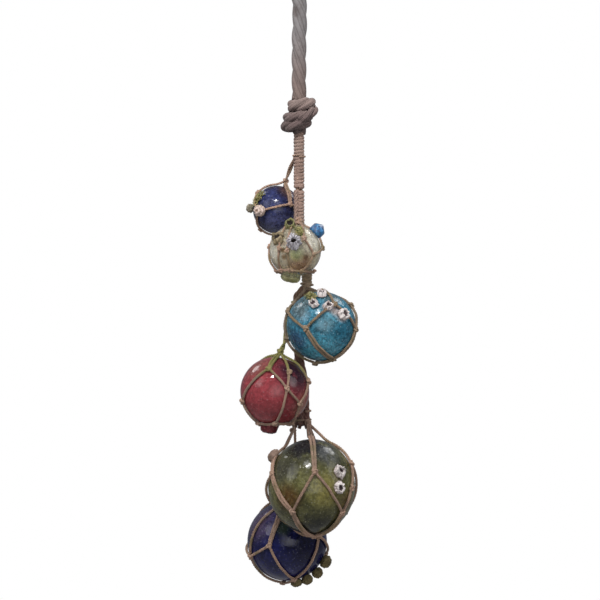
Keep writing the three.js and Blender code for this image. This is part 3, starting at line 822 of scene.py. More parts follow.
def bead_finish(colour):
    """Azure glassy shell with darker facets."""
    finish = Finish("azure_shell")
    place = finish.place()
    facet = finish.cells(place, 150)
    cloud = finish.noise(place, 160, 3.0)
    base = finish.blend(colour, linear(20, 70, 120), finish.ease(cloud, 0.42, 0.6))
    base = finish.blend(base, linear(150, 205, 235), finish.ease(facet, 0.5, 0.2) * 0.35)
    finish.set(
        Base_Color=base, Roughness=0.22 + cloud * 0.3, Normal=finish.bump(cloud, 0.3, 0.6 * MM),
        Transmission_Weight=0.25, Coat_Weight=0.6)
    return finish


def moss_finish(colour):
    """Dry moss, yellow at its tips."""
    finish = Finish("moss")
    place = finish.place()
    patch = finish.noise(place, 220, 3.0)
    speck = finish.noise(place, 900, 2.0)
    base = finish.blend(colour, linear(88, 94, 46), finish.ease(patch, 0.42, 0.62))
    base = finish.blend(base, linear(198, 190, 126), finish.ease(speck, 0.55, 0.75) * 0.6)
    finish.set(Base_Color=base, Roughness=0.95, Normal=finish.bump(speck, 0.4, 0.4 * MM))
    return finish


# Places

class Ball:
    """A float's middle and radii, from its solid, with places over the glass."""

    def __init__(self, name):
        self.name = name
        self.data = FLOATS[name]
        low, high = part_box(f"{name}_float")
        self.radii = metres(self.data["width"], self.data["width"], self.data["height"]) / 2
        self.centre = Vector(((low.x + high.x) / 2, (low.y + high.y) / 2, high.z - self.radii.z))

    def outward(self, latitude, longitude):
        north, east = math.radians(latitude), math.radians(longitude)
        flat = math.cos(north)
        return Vector((flat * math.sin(east), -flat * math.cos(east), math.sin(north)))

    def over(self, latitude, longitude, height=0.0):
        out = self.outward(latitude, longitude)
        return self.centre + Vector(a * b for a, b in zip(out, self.radii)) + out * height

    def scaled(self, point):
        """A point as seen from the middle, in radii."""
        return Vector(a / b for a, b in zip(point - self.centre, self.radii))

    def unscaled(self, point):
        return self.centre + Vector(a * b for a, b in zip(point, self.radii))

    def lifted(self, point, height):
        """The point, moved out if it is nearer to the glass than a height."""
        spot = self.scaled(point)
        least = 1 + height / self.radii.x
        return self.unscaled(spot * (least / spot.length)) if spot.length < least else point

    def seat(self, latitude, longitude, height=0.0, spin=0.0):
        """The matrix that stands a shape on the glass."""
        turn = self.outward(latitude, longitude).to_track_quat("Z", "Y").to_matrix().to_4x4()
        place = Matrix.Translation(self.over(latitude, longitude, height))
        return place @ turn @ Matrix.Rotation(spin, 4, "Z")

    def wrap(self, start, end, height, step):
        """A taut line from start to end that lies on the glass."""
        parts = max(6, round((end - start).length * 1.3 / step))
        line = [self.lifted(start.lerp(end, i / parts), height) for i in range(parts + 1)]
        for _ in range(30):
            line = [line[0], *(
                self.lifted((a + c) / 2, height) for a, c in zip(line, line[2:])
            ), line[-1]]
        return line


BALLS = {name: Ball(name) for name in FLOATS}
CORE_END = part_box("serving_lower")[0].z
SERVING_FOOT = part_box("serving_middle")[0].z
SERVING_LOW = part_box("serving_lower")[1].z
BUNDLE_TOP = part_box("strand_bundle")[1].z
BUNDLE_END = BALLS["olive"].centre.z + BALLS["olive"].radii.z + 10 * MM


def core_aside(height):
    share = clamped((SERVING_FOOT - height) / (SERVING_FOOT - SERVING_LOW))
    return CORE_ASIDE * MM * share * share * (3 - 2 * share)


def bundle_at(height):
    """The middle and half width of the opened strands at a height, in metres."""
    share = clamped((BUNDLE_TOP - height) / (BUNDLE_TOP - BUNDLE_END))
    for (a, aside, reach), (b, next_aside, next_reach) in zip(BUNDLE_STATIONS, BUNDLE_STATIONS[1:]):
        if share <= b:
            part = (share - a) / (b - a)
            return metres(aside + (next_aside - aside) * part, reach + (next_reach - reach) * part, 0)
    return metres(BUNDLE_STATIONS[-1][1], BUNDLE_STATIONS[-1][2], 0)


def rope_at(height):
    """The rope's middle, half width and half depth at a height, in metres."""
    if height > CORE_END:
        served = height > SERVING_FOOT or height < SERVING_LOW
        reach = (SERVING_DIAMETER if served else CORE_DIAMETER) / 2 * MM
        return core_aside(height), reach, reach
    depth = (STRAND_DIAMETER / 2 + STRAND_STAGGER + STRAND_LEAN) * MM
    aside, reach, _ = bundle_at(height)
    return aside, max(reach, depth) + STRAND_LEAN * MM, depth


def hitch_of(ball):
    """The height at which a ball's cord goes round the rope."""
    if "ties" in ball.data:
        return BUNDLE_END + ball.data["ties"] * MM
    return ball.centre.z + ball.radii.z + ball.data["hangs"] * MM


# Operators

class FLOATS_OT_stage(bpy.types.Operator):
    """Makes the camera, the pale floor and the soft studio light"""
    bl_idname = "floats.stage"
    bl_label = "Stage"

    def execute(self, context):
        settings = context.scene.float_stage
        middle = PHOTO_PIXELS / 2 * PIXEL
        camera = bpy.data.cameras.new("photo_camera")
        camera.sensor_width = SENSOR_WIDTH
        camera.lens = SENSOR_WIDTH * settings.distance / (PHOTO_PIXELS * PIXEL * MM)
        camera.clip_end = 100
        viewer = bpy.data.objects.new("photo_camera", camera)
        context.scene.collection.objects.link(viewer)
        viewer.location = (
            (PHOTO_LEFT_X + middle) * MM, -settings.distance, (PHOTO_TOP_Z - middle) * MM)
        viewer.rotation_euler = (math.pi / 2, 0, 0)
        context.scene.camera = viewer

        foot = CAD_BOX[0].z - settings.floor_gap
        floor = started(
            "circle", vertices=96, radius=FLOOR_RADIUS, fill_type="NGON", location=(0, 0, foot))
        floor.name = "floor"
        paint = Finish("floor_paint")
        pale = tuple(settings.floor_colour)
        seen = paint.node("ShaderNodeLightPath", output="Is Camera Ray")
        paint.set(
            Base_Color=pale, Roughness=0.9, Emission_Strength=FLOOR_GLOW,
            Emission_Color=paint.blend((0, 0, 0), pale, seen))
        floor.data.materials.append(paint.material)

        for name, lamp in LAMPS.items():
            self.light(context, name, *lamp)
        self.sky(context)
        return {"FINISHED"}

    def light(self, context, name, place, size, power):
        """A soft round lamp that looks at a place just above the object's middle."""
        lamp = bpy.data.lights.new(name, "AREA")
        lamp.shape = "DISK"
        lamp.size = size
        lamp.energy = power
        lamp.spread = math.radians(LAMP_SPREAD)
        holder = bpy.data.objects.new(name, lamp)
        context.scene.collection.objects.link(holder)
        target = (CAD_BOX[0] + CAD_BOX[1]) / 2 + Vector((0, 0, LAMP_AIM_RISE))
        holder.location = target + Vector(place)
        holder.rotation_euler = (-Vector(place)).to_track_quat("-Z", "Y").to_euler()

    def sky(self, context):
        """White straight behind the object, half white through the glass, and a dim room for the rest."""
        world = bpy.data.worlds.new("studio")
        context.scene.world = world
        world.use_nodes = True
        nodes, links = world.node_tree.nodes, world.node_tree.links
        room = nodes["Background"]
        room.inputs["Color"].default_value = ROOM_COLOUR
        room.inputs["Strength"].default_value = ROOM_STRENGTH
        white = nodes.new("ShaderNodeBackground")
        white.inputs["Color"].default_value = (1, 1, 1, 1)
        mix = nodes.new("ShaderNodeMixShader")
        rays = nodes.new("ShaderNodeLightPath")
        through = nodes.new("ShaderNodeMath")
        through.operation = "MULTIPLY_ADD"
        through.inputs[1].default_value = WHITE_THROUGH_GLASS
        links.new(rays.outputs["Is Transmission Ray"], through.inputs[0])
        links.new(rays.outputs["Is Camera Ray"], through.inputs[2])
        links.new(through.outputs[0], mix.inputs["Fac"])
        links.new(room.outputs[0], mix.inputs[1])
        links.new(white.outputs[0], mix.inputs[2])
        links.new(mix.outputs[0], nodes["World Output"].inputs["Surface"])
        context.scene.view_settings.view_transform = "Standard"


class FLOATS_OT_hanging_rope(bpy.types.Operator):
    """Makes the laid rope with its eye and seizing"""
    bl_idname = "floats.hanging_rope"
    bl_label = "Hanging rope"

    def execute(self, context):
        settings = context.scene.float_rope
        path = smooth_line(self.route(), 2.5 * MM)
        strands = laid(path, ROPE_DIAMETER * MM, settings.lay, swell=0.66)
        rope = joined("laid_rope", cords_of(strands, 4))
        finish = rope_finish(
            "upper_rope", tuple(settings.upper_colour), tuple(settings.lower_colour),
            fade=(-215, -330), yarns=6, yarn_turn=30, groove_shade=0.4)
        settle(rope, finish.material, "rope", "hanging_rope")
        seizing = self.seizing(settings)
        length_of(path)
        return {"FINISHED"}

    def route(self):
        """The rope from the knot up, round the eye and back down beside itself."""
        half = ROPE_DIAMETER / 2
        bend = EYE_WIDTH / 2 + half
        beside = half + CLEARANCE
        seizing_top = -EYE_LENGTH
        tail_end = seizing_top - SEIZING_HEIGHT - TAIL_LENGTH
        stem_top = tail_end - STEM_SHIFT
        knot_top = seizing_top - SEIZING_HEIGHT - STEM_LENGTH
        points = [
            (0, 0, knot_top - KNOT_SOCKET + CLEARANCE),
            (0, 0, (knot_top + stem_top) / 2),
            (0, 0, stem_top),
            (-beside, 0, tail_end - CLEARANCE),
            (-beside, 0, (seizing_top + tail_end) / 2),
            (-beside, 0, seizing_top),
            (-beside - THROAT_SPREAD, 0, seizing_top + half),
        ]
        for turn in range(180 + EYE_STEP, -EYE_STEP - 1, -EYE_STEP):
            angle = math.radians(turn)
            points.append((bend * math.cos(angle), 0, half - bend + bend * math.sin(angle)))
        points += [
            (beside + THROAT_SPREAD, 0, seizing_top + half),
            (beside, 0, seizing_top),
            (beside, 0, (seizing_top + tail_end) / 2),
            (beside, 0, tail_end),
        ]
        return [metres(*point) for point in points]

    def seizing(self, settings):
        """Close turns of twine round the two parts of the rope."""
        low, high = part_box("eye_seizing")
        thick = SEIZING_TWINE * MM
        turns = round((high.z - low.z) / thick)
        half_depth = (high.y - low.y) / 2 - thick / 2
        straight = (high.x - low.x) / 2 - thick / 2 - half_depth
        steps = 36
        points = []
        for i in range(turns * steps - steps // 2):
            angle = FULL_TURN * i / steps
            side = straight if math.cos(angle) > 0 else -straight
            height = low.z + thick / 2 + (high.z - low.z - thick) * i / (turns * steps)
            points.append(Vector((
                side + half_depth * math.cos(angle), half_depth * math.sin(angle), height)))
        line = evenly(points, 2.2 * MM)
        piece = joined("seizing_turns", cords_of(laid(line, thick, 14 * MM, hand=1)))
        finish = rope_finish("seizing_twine", tuple(settings.serving_colour), yarns=3)
        return settle(piece, finish.material, "serving", "eye_seizing")


class FLOATS_OT_stopper_knot(bpy.types.Operator):
    """Makes the big knot: rope wound in fat leaning turns"""
    bl_idname = "floats.stopper_knot"
    bl_label = "Stopper knot"

    def execute(self, context):
        settings = context.scene.float_rope
        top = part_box("hanging_rope")[0].z + (KNOT_SOCKET - CLEARANCE) * MM
        winding = evenly(self.winding(top), 2.6 * MM)
        lines = laid(winding, 19 * MM, 66 * MM, swell=0.58)
        heart = [Vector((0, 0, top - KNOT_SOCKET * MM)), Vector((0, 0, top - 57 * MM))]
        lines += laid(evenly(heart, 4 * MM), 20 * MM, 60 * MM)
        end = [Vector((0, 0, top)) + metres(*spot) for spot in (
            (0, -16, -38), (10, -18, -33), (18.5, -12, -27), (20, -2, -25), (13, 6, -28))]
        lines += laid(smooth_line(end, 2 * MM), 14.5 * MM, 50 * MM)
        knot = joined("rope_knot", cords_of(lines, 4))
        # The knot's rope darkens towards its bottom: partly its own tone and partly painted shade.
        finish = rope_finish(
            "knot_rope", linear(136, 118, 112), linear(104, 88, 86), fade=(-328, -352),
            yarns=6, yarn_turn=40, dark=0.36, groove_shade=0.4)
        settle(knot, finish.material, "rope", "stopper_knot")
        return {"FINISHED"}

    def winding(self, top):
        """One line through the knot's turns, from the highest down."""
        steps = 32
        points = []
        last = len(KNOT_TURNS) - 1
        for i in range(last * steps + steps + 1):
            at = min(i / steps, last)
            turn = min(int(at), last - 1)
            share = at - turn
            drop, aside, width, cord, lean = (
                a + (b - a) * share for a, b in zip(KNOT_TURNS[turn], KNOT_TURNS[turn + 1]))
            angle = FULL_TURN * i / steps + math.pi / 2
            reach = (width - cord) / 2
            across = reach * math.cos(angle)
            tilt = math.radians(lean)
            points.append(Vector((0, 0, top)) + metres(
                aside + across * math.cos(tilt), reach * math.sin(angle),
                across * math.sin(tilt) - drop))
        return points


class FLOATS_OT_core(bpy.types.Operator):
    """Makes the thin core, its close servings and the opened strands at its end"""
    bl_idname = "floats.core"
    bl_label = "Core, servings and strands"

    def execute(self, context):
        settings = context.scene.float_rope
        old = rope_finish(
            "old_rope", tuple(settings.old_colour), linear(118, 80, 72), fade=(-640, -740),
            yarns=5, yarn_turn=90)
        twine = rope_finish(
            "serving_twine", tuple(settings.serving_colour), yarns=4, yarn_turn=45, groove_shade=0.3)
        worn = rope_finish(
            "worn_serving", linear(140, 122, 98), yarns=4, yarn_turn=45, groove_shade=0.35)
        low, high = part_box("core_rope")
        heights = [high.z + (low.z - high.z) * i / 90 for i in range(91)]
        path = [Vector((core_aside(z), 0, z)) for z in heights]
        core = joined("core_strands", cords_of(laid(path, CORE_DIAMETER * MM, settings.core_lay), 2))
        settle(core, old.material, "old_rope", "core_rope")
        for node, finish in (
                ("serving_upper", twine), ("serving_middle", twine), ("serving_lower", worn)):
            self.serving(node, finish.material)
        self.bundle(old.material)
        return {"FINISHED"}

    def serving(self, node, material):
        """Round turns of twine, wound close and flush at both ends, with a straight end laid over the
        middle one."""
        low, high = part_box(node)
        middle = (low.x + high.x) / 2
        thick = SERVING_PITCH * MM
        turns = round((high.z - low.z) / thick)
        reach = SERVING_DIAMETER / 2 * MM - thick * 0.85
        foot, top = low.z + thick * 0.7, high.z - thick * 0.7
        if node == "serving_upper":
            top, turns = top + thick, turns + 1
        steps = 24
        points = []
        for i in range(-steps // 2, (turns - 1) * steps + steps // 2 + 1):
            angle = FULL_TURN * i / steps + math.pi / 2
            height = foot + (top - foot) * i / ((turns - 1) * steps)
            uneven = noise.noise(Vector((i * 0.03, foot * 90, 0))) * 0.9 * MM
            wide = reach + noise.noise(Vector((i * 0.02, 9, foot * 90))) * 0.5 * MM
            points.append(Vector((
                middle + wide * math.cos(angle), wide * math.sin(angle),
                max(foot, min(top, height + uneven)))))
        lines = [(evenly(points, 1.5 * MM), thick * 1.3, False, False)]
        if node == "serving_middle":
            reach += thick * 0.85
            angle = math.radians(-118)
            end = [Vector((middle + reach * math.cos(angle), reach * math.sin(angle), z))
                   for z in (high.z - MM, low.z + MM)]
            lines += laid(evenly(end, 1.7 * MM), 5.6 * MM, 16 * MM, hand=1)
        piece = joined(f"{node}_turns", cords_of(lines, 3))
        settle(piece, material, "serving", node)

    def bundle(self, material):
        """Three strands that lie open side by side, each of a few slack yarns."""
        random.seed(BUNDLE_SEED)
        lines = []
        for side in (-1, 0, 1):
            stagger = STRAND_STAGGER * MM * (-1 if side == 0 else 1)
            path = []
            for i in range(91):
                height = BUNDLE_TOP + (BUNDLE_END - BUNDLE_TOP) * i / 90
                aside, reach, _ = bundle_at(height)
                stray = noise.noise_vector(Vector((side * 7, 0, height * 38))) * 1.1 * MM
                middle = aside + side * (reach - STRAND_DIAMETER / 2 * MM)
                path.append(Vector((middle + stray.x, stagger + stray.y, height)))
            strand = laid(evenly(path, 2.2 * MM), STRAND_DIAMETER * MM, 46 * MM, strands=4,
                          start=random.random() * FULL_TURN)
            lines += [(line[:-random.randrange(1, 4)], *rest) for line, *rest in strand]
            lines += self.stray_yarns(path)
        piece = joined("open_strands", cords_of(lines, 2))
        settle(piece, material, "old_rope", "strand_bundle")

    def stray_yarns(self, path):
        """Thin yarns that have come loose from a strand."""
        yarns = []
        for _ in range(3):
            first = random.randrange(0, 55)
            part = path[first:first + 34]
            reach = STRAND_DIAMETER / 2 * MM * random.uniform(0.85, 1.0)
            start = random.random() * FULL_TURN
            for line in strands_round(part, reach, 1, 70 * MM, start=start):
                yarns.append((evenly(line, 2.4 * MM), 1.5 * MM, False, True))
        return yarns


class FLOATS_OT_glass(bpy.types.Operator):
    """Makes the six blown glass floats, each with a wall and a slightly uneven skin"""
    bl_idname = "floats.glass"
    bl_label = "Glass floats"

    def execute(self, context):
        settings = context.scene.float_glass
        finishes = {
            name: glass_finish(ball, tuple(getattr(settings, name)), **GLASS[name])
            for name, ball in BALLS.items()
        }
        for name, ball in BALLS.items():
            outer = self.blown(ball, settings)
            inner = self.cavity(ball, settings)
            piece = joined(f"{name}_glass", [outer, inner])
            settle(piece, finishes[name].material, f"{name}_glass", f"{name}_float")
        return {"FINISHED"}

    def blown(self, ball, settings):
        """The outside, drawn out into the seal button where the float shows one."""
        piece = started("uv_sphere", segments=96, ring_count=64, radius=1)
        axis = None
        if "seal" in ball.data:
            latitude, longitude, width, rise = ball.data["seal"]
            axis = ball.outward(latitude, longitude)
            edge = math.asin(width * MM / 2 / ball.radii.x)
        else:
            latitude, longitude = 90, 0
        turn = ball.outward(latitude, longitude).to_track_quat("Z", "Y").to_matrix().to_4x4()
        piece.data.transform(turn)

        def shaped(co):
            out = co.normalized()
            rough = noise.noise(out * 2.1 + ball.centre * 40) + 0.5 * noise.noise(out * 5.3)
            height = -settings.unevenness * (0.5 + 0.5 * rough)
            if axis:
                away = axis.angle(out) / edge
                if away < 1.25:
                    knob = max(0.0, 1 - min(away, 1.0) ** 4) ** 0.5
                    lump = 1 + 0.16 * noise.noise(out * 17)
                    height += rise * MM * knob * lump
            return ball.unscaled(out) + out * height

        reshape(piece, shaped)
        return piece

    def cavity(self, ball, settings):
        """The inside of the wall, facing in."""
        piece = started("uv_sphere", segments=64, ring_count=40, radius=1)
        share = 1 - settings.wall / ball.radii.x
        reshape(piece, lambda co: ball.unscaled(co * share))
        bpy.ops.object.mode_set(mode="EDIT")
        bpy.ops.mesh.select_all(action="SELECT")
        bpy.ops.mesh.flip_normals()
        bpy.ops.object.mode_set(mode="OBJECT")
        return piece


class FLOATS_OT_nets(bpy.types.Operator):
    """Makes the six knotted nets, with the cords that tie them to the rope"""
    bl_idname = "floats.nets"
    bl_label = "Nets"

    def execute(self, context):
        settings = context.scene.float_net
        twine = rope_finish(
            "net_twine", tuple(settings.twine_colour), yarns=3, yarn_turn=150, mould=0.5)
        grey = rope_finish(
            "grey_net_twine", tuple(settings.grey_colour), yarns=3, yarn_turn=150, mould=0.4)
        red = BALLS["red"]
        dyed = dyed_twine(
            "dyed_net_twine", tuple(settings.twine_colour), tuple(settings.dyed_colour),
            red.centre.z + red.radii.z * 0.35, red.centre.z + red.radii.z * 0.85)
        finishes = {"turquoise": (grey, "grey_twine"), "red": (dyed, "twine")}
        for name, ball in BALLS.items():
            finish, slot = finishes.get(name, (twine, "twine"))
            piece = joined(f"{name}_net_twine", self.net(ball, settings))
            settle(piece, finish.material, slot, f"{name}_float_net")
        return {"FINISHED"}

    def net(self, ball, settings):
        """All the cords of one net."""
        self.settings = settings
        self.thick = ball.data["twine"] * 0.94 * MM
        self.height = self.thick * 0.5 + 0.1 * MM
        spots = self.spots(ball)
        pieces = []
        random.seed(ball.name)
        for names in ball.data["cords"]:
            cords = self.run(ball, spots, names.split(), [0.0])
            pieces += cords_of(cords, aged=random.uniform(0.02, 0.4))
        for names in ball.data["pairs"]:
            cords = self.run(ball, spots, names.split(), [-0.52, 0.52])
            pieces += cords_of(cords, aged=random.uniform(0.02, 0.3))
        knots = [self.knot(ball, spot, name) for name, spot in spots.items()]
        pieces += cords_of(knots, 2, aged=0.1)
        for name in ball.data.get("gathered", {"top": None}):
            pieces += cords_of(self.hanger(ball, spots[name]), aged=0.35)
        pieces += cords_of(self.hitch(ball), aged=0.2)
        return pieces

    def spots(self, ball):
        """The places of the knots, over the glass and gathered at the rope."""
        spots = {}
        for name, (latitude, longitude, *lift) in ball.data["knots"].items():
            height = self.height + (lift[0] * MM if lift else 0)
            spots[name] = ball.over(latitude, longitude, height)
        hitch = hitch_of(ball)
        aside, _, depth = rope_at(hitch)
        for name, (across, drop) in ball.data.get("gathered", {}).items():
            off = depth + self.thick * 0.9
            spots[name] = Vector((aside + across * MM, -off, hitch - drop * MM))
        return spots

    def run(self, ball, spots, names, sides):
        """A cord from knot to knot, or two that lie side by side."""
        step = self.thick * 0.32
        lines = []
        for first, second in zip(names, names[1:]):
            line = ball.wrap(spots[first], spots[second], self.height, step)
            frames = frames_along(line)
            last = len(line) - 1
            seed = Vector((len(first), len(second), line[0].z * 90))
            for side in sides:
                points = []
                for i, (point, (ahead, _, _)) in enumerate(zip(line, frames)):
                    out = (point - ball.centre).normalized()
                    ease = math.sin(math.pi * i / last) ** 0.5 if 0 < i < last else 0
                    stray = noise.noise_vector(point * 70 + seed) * self.settings.wander * ease
                    across = out.cross(ahead).normalized() * side * self.thick * (0.3 + 0.7 * ease)
                    points.append(ball.lifted(point + across + stray, self.height))
                lines += self.twine(points)
        return lines

    def twine(self, points, thick=None):
        thick = thick or self.thick
        even = evenly(points, thick * 0.34)
        return laid(even, thick, thick * self.settings.lay, hand=1, start=points[0].x * 900)

    def knot(self, ball, spot, name):
        """A tight knot: a three-lobed turn of cord pressed on the glass."""
        out = (spot - ball.centre).normalized()
        turn = out.to_track_quat("Z", "Y").to_matrix().to_4x4()
        spin = Matrix.Rotation(sum(map(ord, name)) * 0.7, 4, "Z")
        size = self.thick * (0.82 if name != "top" else 1.0)
        steps = 36
        points = []
        for i in range(steps):
            t = FULL_TURN * i / steps
            local = Vector((
                (math.sin(t) + 2 * math.sin(2 * t)) / 3,
                (math.cos(t) - 2 * math.cos(2 * t)) / 3,
                -0.42 * math.sin(3 * t) + 0.3,
            )) * size
            points.append(spot + turn @ spin @ local)
        return points, self.thick * 0.82, True, False

    def hanger(self, ball, spot):
        """The cord from a top knot up to the turns round the rope."""
        hitch = hitch_of(ball)
        aside, reach, depth = rope_at(hitch)
        across = max(depth - reach, min(reach - depth, spot.x - aside))
        middle = Vector((aside + across, 0, hitch))
        toward = Vector((spot.x - middle.x, spot.y, 0)).normalized()
        start = middle + toward * (depth + self.thick / 2)
        top = ball.centre.z + ball.radii.z
        way = [Vector((x * MM, y * MM, top + rise * MM)) for x, y, rise in ball.data.get("via", [])]
        if "clears" in ball.data:
            clears = ball.data["clears"] * MM
            way.append(start + toward * clears - Vector((0, 0, clears)))
        path = smooth_line([spot, *way, start], self.thick * 0.34)
        if not ball.data.get("doubled"):
            return self.twine(path)
        cords = []
        for line in strands_round(path, self.thick * 0.42, 2, 62 * MM, hand=1):
            cords += self.twine(line)
        return cords

    def hitch(self, ball):
        """A turn round the rope, or two that lie close."""
        height = hitch_of(ball)
        aside, reach, depth = rope_at(height)
        turns = ball.data.get("turns", 1)
        thick = self.thick * 0.8
        straight = reach - depth
        off = depth - thick * 0.2
        steps = 28
        points = []
        for i in range(turns * steps + 1):
            angle = FULL_TURN * i / steps - math.pi / 2
            side = straight if math.cos(angle) > 0 else -straight
            rise = thick * 0.95 * (i / steps - turns / 2)
            points.append(Vector((
                aside + side + off * math.cos(angle), off * math.sin(angle), height + rise)))
        return self.twine(points, thick)


class FLOATS_OT_shells(bpy.types.Operator):
    """Makes the shells that grow on the glass: cups, tubes, plated, coral, knobbly, ringed and blue"""
    bl_idname = "floats.shells"
    bl_label = "Shells"

    def execute(self, context):
        settings = context.scene.float_growth
        white, brown = tuple(settings.white), tuple(settings.brown)
        # The mouth colour of each shell, the last one given or the default, is painted shade in its mouth.
        finishes = {
            "grey": shell_finish(
                "grey_shell", linear(150, 140, 122), linear(84, 80, 56), linear(96, 86, 74)),
            "pink": shell_finish(
                "pink_shell", linear(206, 184, 174), linear(138, 122, 80), linear(150, 124, 108)),
            "green": shell_finish("green_shell", linear(128, 124, 82), linear(74, 76, 30)),
            "beige": shell_finish("beige_shell", linear(152, 136, 106), linear(92, 80, 54)),
            "silver": shell_finish("silver_shell", linear(208, 204, 208), linear(118, 110, 116)),
            "white": shell_finish(
                "white_shell", white, linear(172, 154, 150), linear(84, 70, 72)),
            "brown": shell_finish("brown_shell", brown, linear(66, 58, 32), linear(24, 20, 12)),
        }
        knob = shell_finish("brown_knob", linear(140, 116, 102), linear(82, 66, 50))
        for number, (node, (name, kind, *sizes)) in enumerate(SHELLS.items()):
            random.seed(number)
            make = self.rounded if kind in ROUNDED else self.cup
            piece = make(BALLS[name], node, kind, sizes)
            tone = node.split("_")[0]
            finish = knob if kind == "knob" else finishes[tone]
            settle(piece, finish.material, f"{tone}_shell", node)
        self.bead()
        return {"FINISHED"}

    def rounded(self, ball, node, kind, sizes):
        """A grainy lump with a small pit, or one ringed like a snail, pressed on the glass."""
        latitude, longitude, base, _, mouth, height = sizes
        seed = Vector((number_of(node), 0, 0))
        share, rings, grain, long, tall = ROUNDED[kind]
        piece = started("uv_sphere", segments=40, ring_count=28, radius=1)
        # The pit gets the mouth's painted shade.
        self.note(piece, lambda co: (
            1.0 if math.hypot(co.x, co.y) * base < mouth * 0.7 and co.z > 0 else 0.0,
            max(0.0, -co.z),
            max(0.0, math.sin(FULL_TURN * rings * math.acos(clamped(co.z, -1.0)) / math.pi)),
        ))

        def lumpy(co):
            polar = math.acos(clamped(co.z, -1.0))
            swell = 1 + noise.noise(co * 3.1 + seed) * grain + noise.noise(co * 7 + seed) * grain
            swell -= 0.06 * max(0.0, math.sin(FULL_TURN * rings * polar / math.pi))
            pit = max(0.0, 1 - math.hypot(co.x, co.y) * base / mouth / 0.8) if co.z > 0 else 0.0
            wide = base * share * MM
            return Vector((co.x * wide, co.y * wide * long, co.z * height * tall * MM)) * swell * (
                1 - 0.3 * pit) + Vector((0, 0, height * 0.5 * MM))

        reshape(piece, lumpy)
        return self.seated(piece, ball, node, latitude, longitude)

    def seated(self, piece, ball, node, latitude, longitude, spin=0.0, tip=0.0):
        """Stands a shell on the glass, tipped forward round its foot, with no part in the glass."""
        piece.name = f"{node}_shell"
        piece.data.name = piece.name
        foot = ball.over(latitude, longitude)
        axis = ball.outward(latitude, longitude).cross(Vector((0, -1, 0)))
        tilt = Matrix.Translation(foot) @ Matrix.Rotation(tip, 4, axis) @ Matrix.Translation(-foot)
        piece.data.transform(tilt @ ball.seat(latitude, longitude, 0.0, spin))
        reshape(piece, lambda co: ball.lifted(co, SKIN_GAP))
        select_only(piece)
        bpy.ops.object.shade_smooth()
        return piece

    def note(self, piece, values):
        """Notes for the material, at each point: how far in the mouth, for the mouth's painted shade, near
        the foot and in a seam.
        """
        names = ("mouth", "foot", "seam")
        marks = [piece.data.attributes.new(name, "FLOAT", "POINT") for name in names]
        for vertex in piece.data.vertices:
            for mark, value in zip(marks, values(vertex.co)):
                mark.data[vertex.index].value = value

    def cup(self, ball, node, kind, sizes):
        """A cone with an inset, sunk mouth, ribbed and roughened, and pressed on the glass."""
        latitude, longitude, base, rim, mouth, height = sizes
        base, rim, mouth, height = (size * MM for size in (base, rim, mouth, height))
        piece = started(
            "cone", vertices=18, radius1=base / 2, radius2=rim / 2, depth=height,
            end_fill_type="NGON", location=(0, 0, 0))
        reshape(piece, lambda co: co + Vector((0, 0, height / 2)))
        bpy.ops.object.mode_set(mode="EDIT")
        pick_faces(piece, lambda middle, normal: normal.z > 0.9)
        bpy.ops.mesh.inset(thickness=(rim - mouth) * 0.36)
        bpy.ops.mesh.extrude_region_move(TRANSFORM_OT_translate={"value": (0, 0, -height * 0.35)})
        bpy.ops.transform.resize(value=(0.85, 0.85, 1))
        bpy.ops.mesh.extrude_region_move(TRANSFORM_OT_translate={"value": (0, 0, -height * 0.35)})
        bpy.ops.transform.resize(value=(0.55, 0.55, 1))
        bpy.ops.mesh.select_all(action="SELECT")
        bpy.ops.mesh.subdivide(number_cuts=1)
        bpy.ops.object.mode_set(mode="OBJECT")
        apply_modifier(piece, "SUBSURF", levels=2, render_levels=2)
        shape = CUPS[kind]
        self.mark(piece, node, shape, mouth, height)
        self.roughen(piece, node, shape, rim, height)
        return self.seated(
            piece, ball, node, latitude, longitude, spin=random.random() * FULL_TURN,
            tip=TUBE_TIP if kind == "tube" else 0.0)

    def angle_of(self, co):
        """The angle round a shell, which is 0 on its axis on every run."""
        return math.atan2(round(co.y, 7) + 0.0, round(co.x, 7) + 0.0)

    def plate(self, node, ribs, angle):
        """1 on a ridge and 0 in the groove between two, round a shell."""
        seed = number_of(node)
        swing = 1.1 * math.sin(angle + seed) + 0.8 * math.sin(2 * angle + seed * 2)
        return 0.5 + 0.5 * math.sin(ribs * angle + swing * 2)

    def mark(self, piece, node, shape, mouth, height):
        """Notes what is in the mouth, where painted shade darkens it deeper in, near the foot and in a
        seam.
        """
        def values(co):
            held = math.hypot(co.x, co.y) < mouth * 0.66 and co.z > height * 0.1
            # Painted shade grows deeper into the mouth.
            inner = clamped(((height - co.z) / height - 0.06) / 0.3) if held else 0.0
            gap = 0.0 if held else (1 - self.plate(node, shape[0], self.angle_of(co))) ** 2
            return inner, clamped(1 - co.z / height * 1.3), gap

        self.note(piece, values)

    def roughen(self, piece, node, shape, rim, height):
        """Plates with seams between them, points on the rim, a skirt on the glass and a rough skin."""
        ribs, rib_depth, grain, points, uneven = shape
        seed = Vector((number_of(node), 0, 0))
        lean = Vector((math.cos(seed.x), math.sin(seed.x), 0)) * rim * 0.2

        def rough(co):
            angle = self.angle_of(co)
            rise = clamped(co.z / height)
            plate = self.plate(node, ribs, angle)
            lumps = noise.noise(co * 260 + seed) * grain * 2.2
            fine = noise.noise(co * 700 + seed) * grain
            skirt = 0.22 * (1 - rise) ** 2
            broken = noise.noise(Vector((math.cos(angle), math.sin(angle), 0)) * 1.6 + seed)
            wide = 1 + (plate - 0.4) * rib_depth + broken * uneven + lumps + fine + skirt
            lift = (broken * uneven * 1.4 + (plate - 0.5) * points) * height * rise
            moved = Vector((co.x * wide, co.y * wide, co.z + lift + lumps * height * 0.4))
            return moved + lean * rise

        reshape(piece, rough)

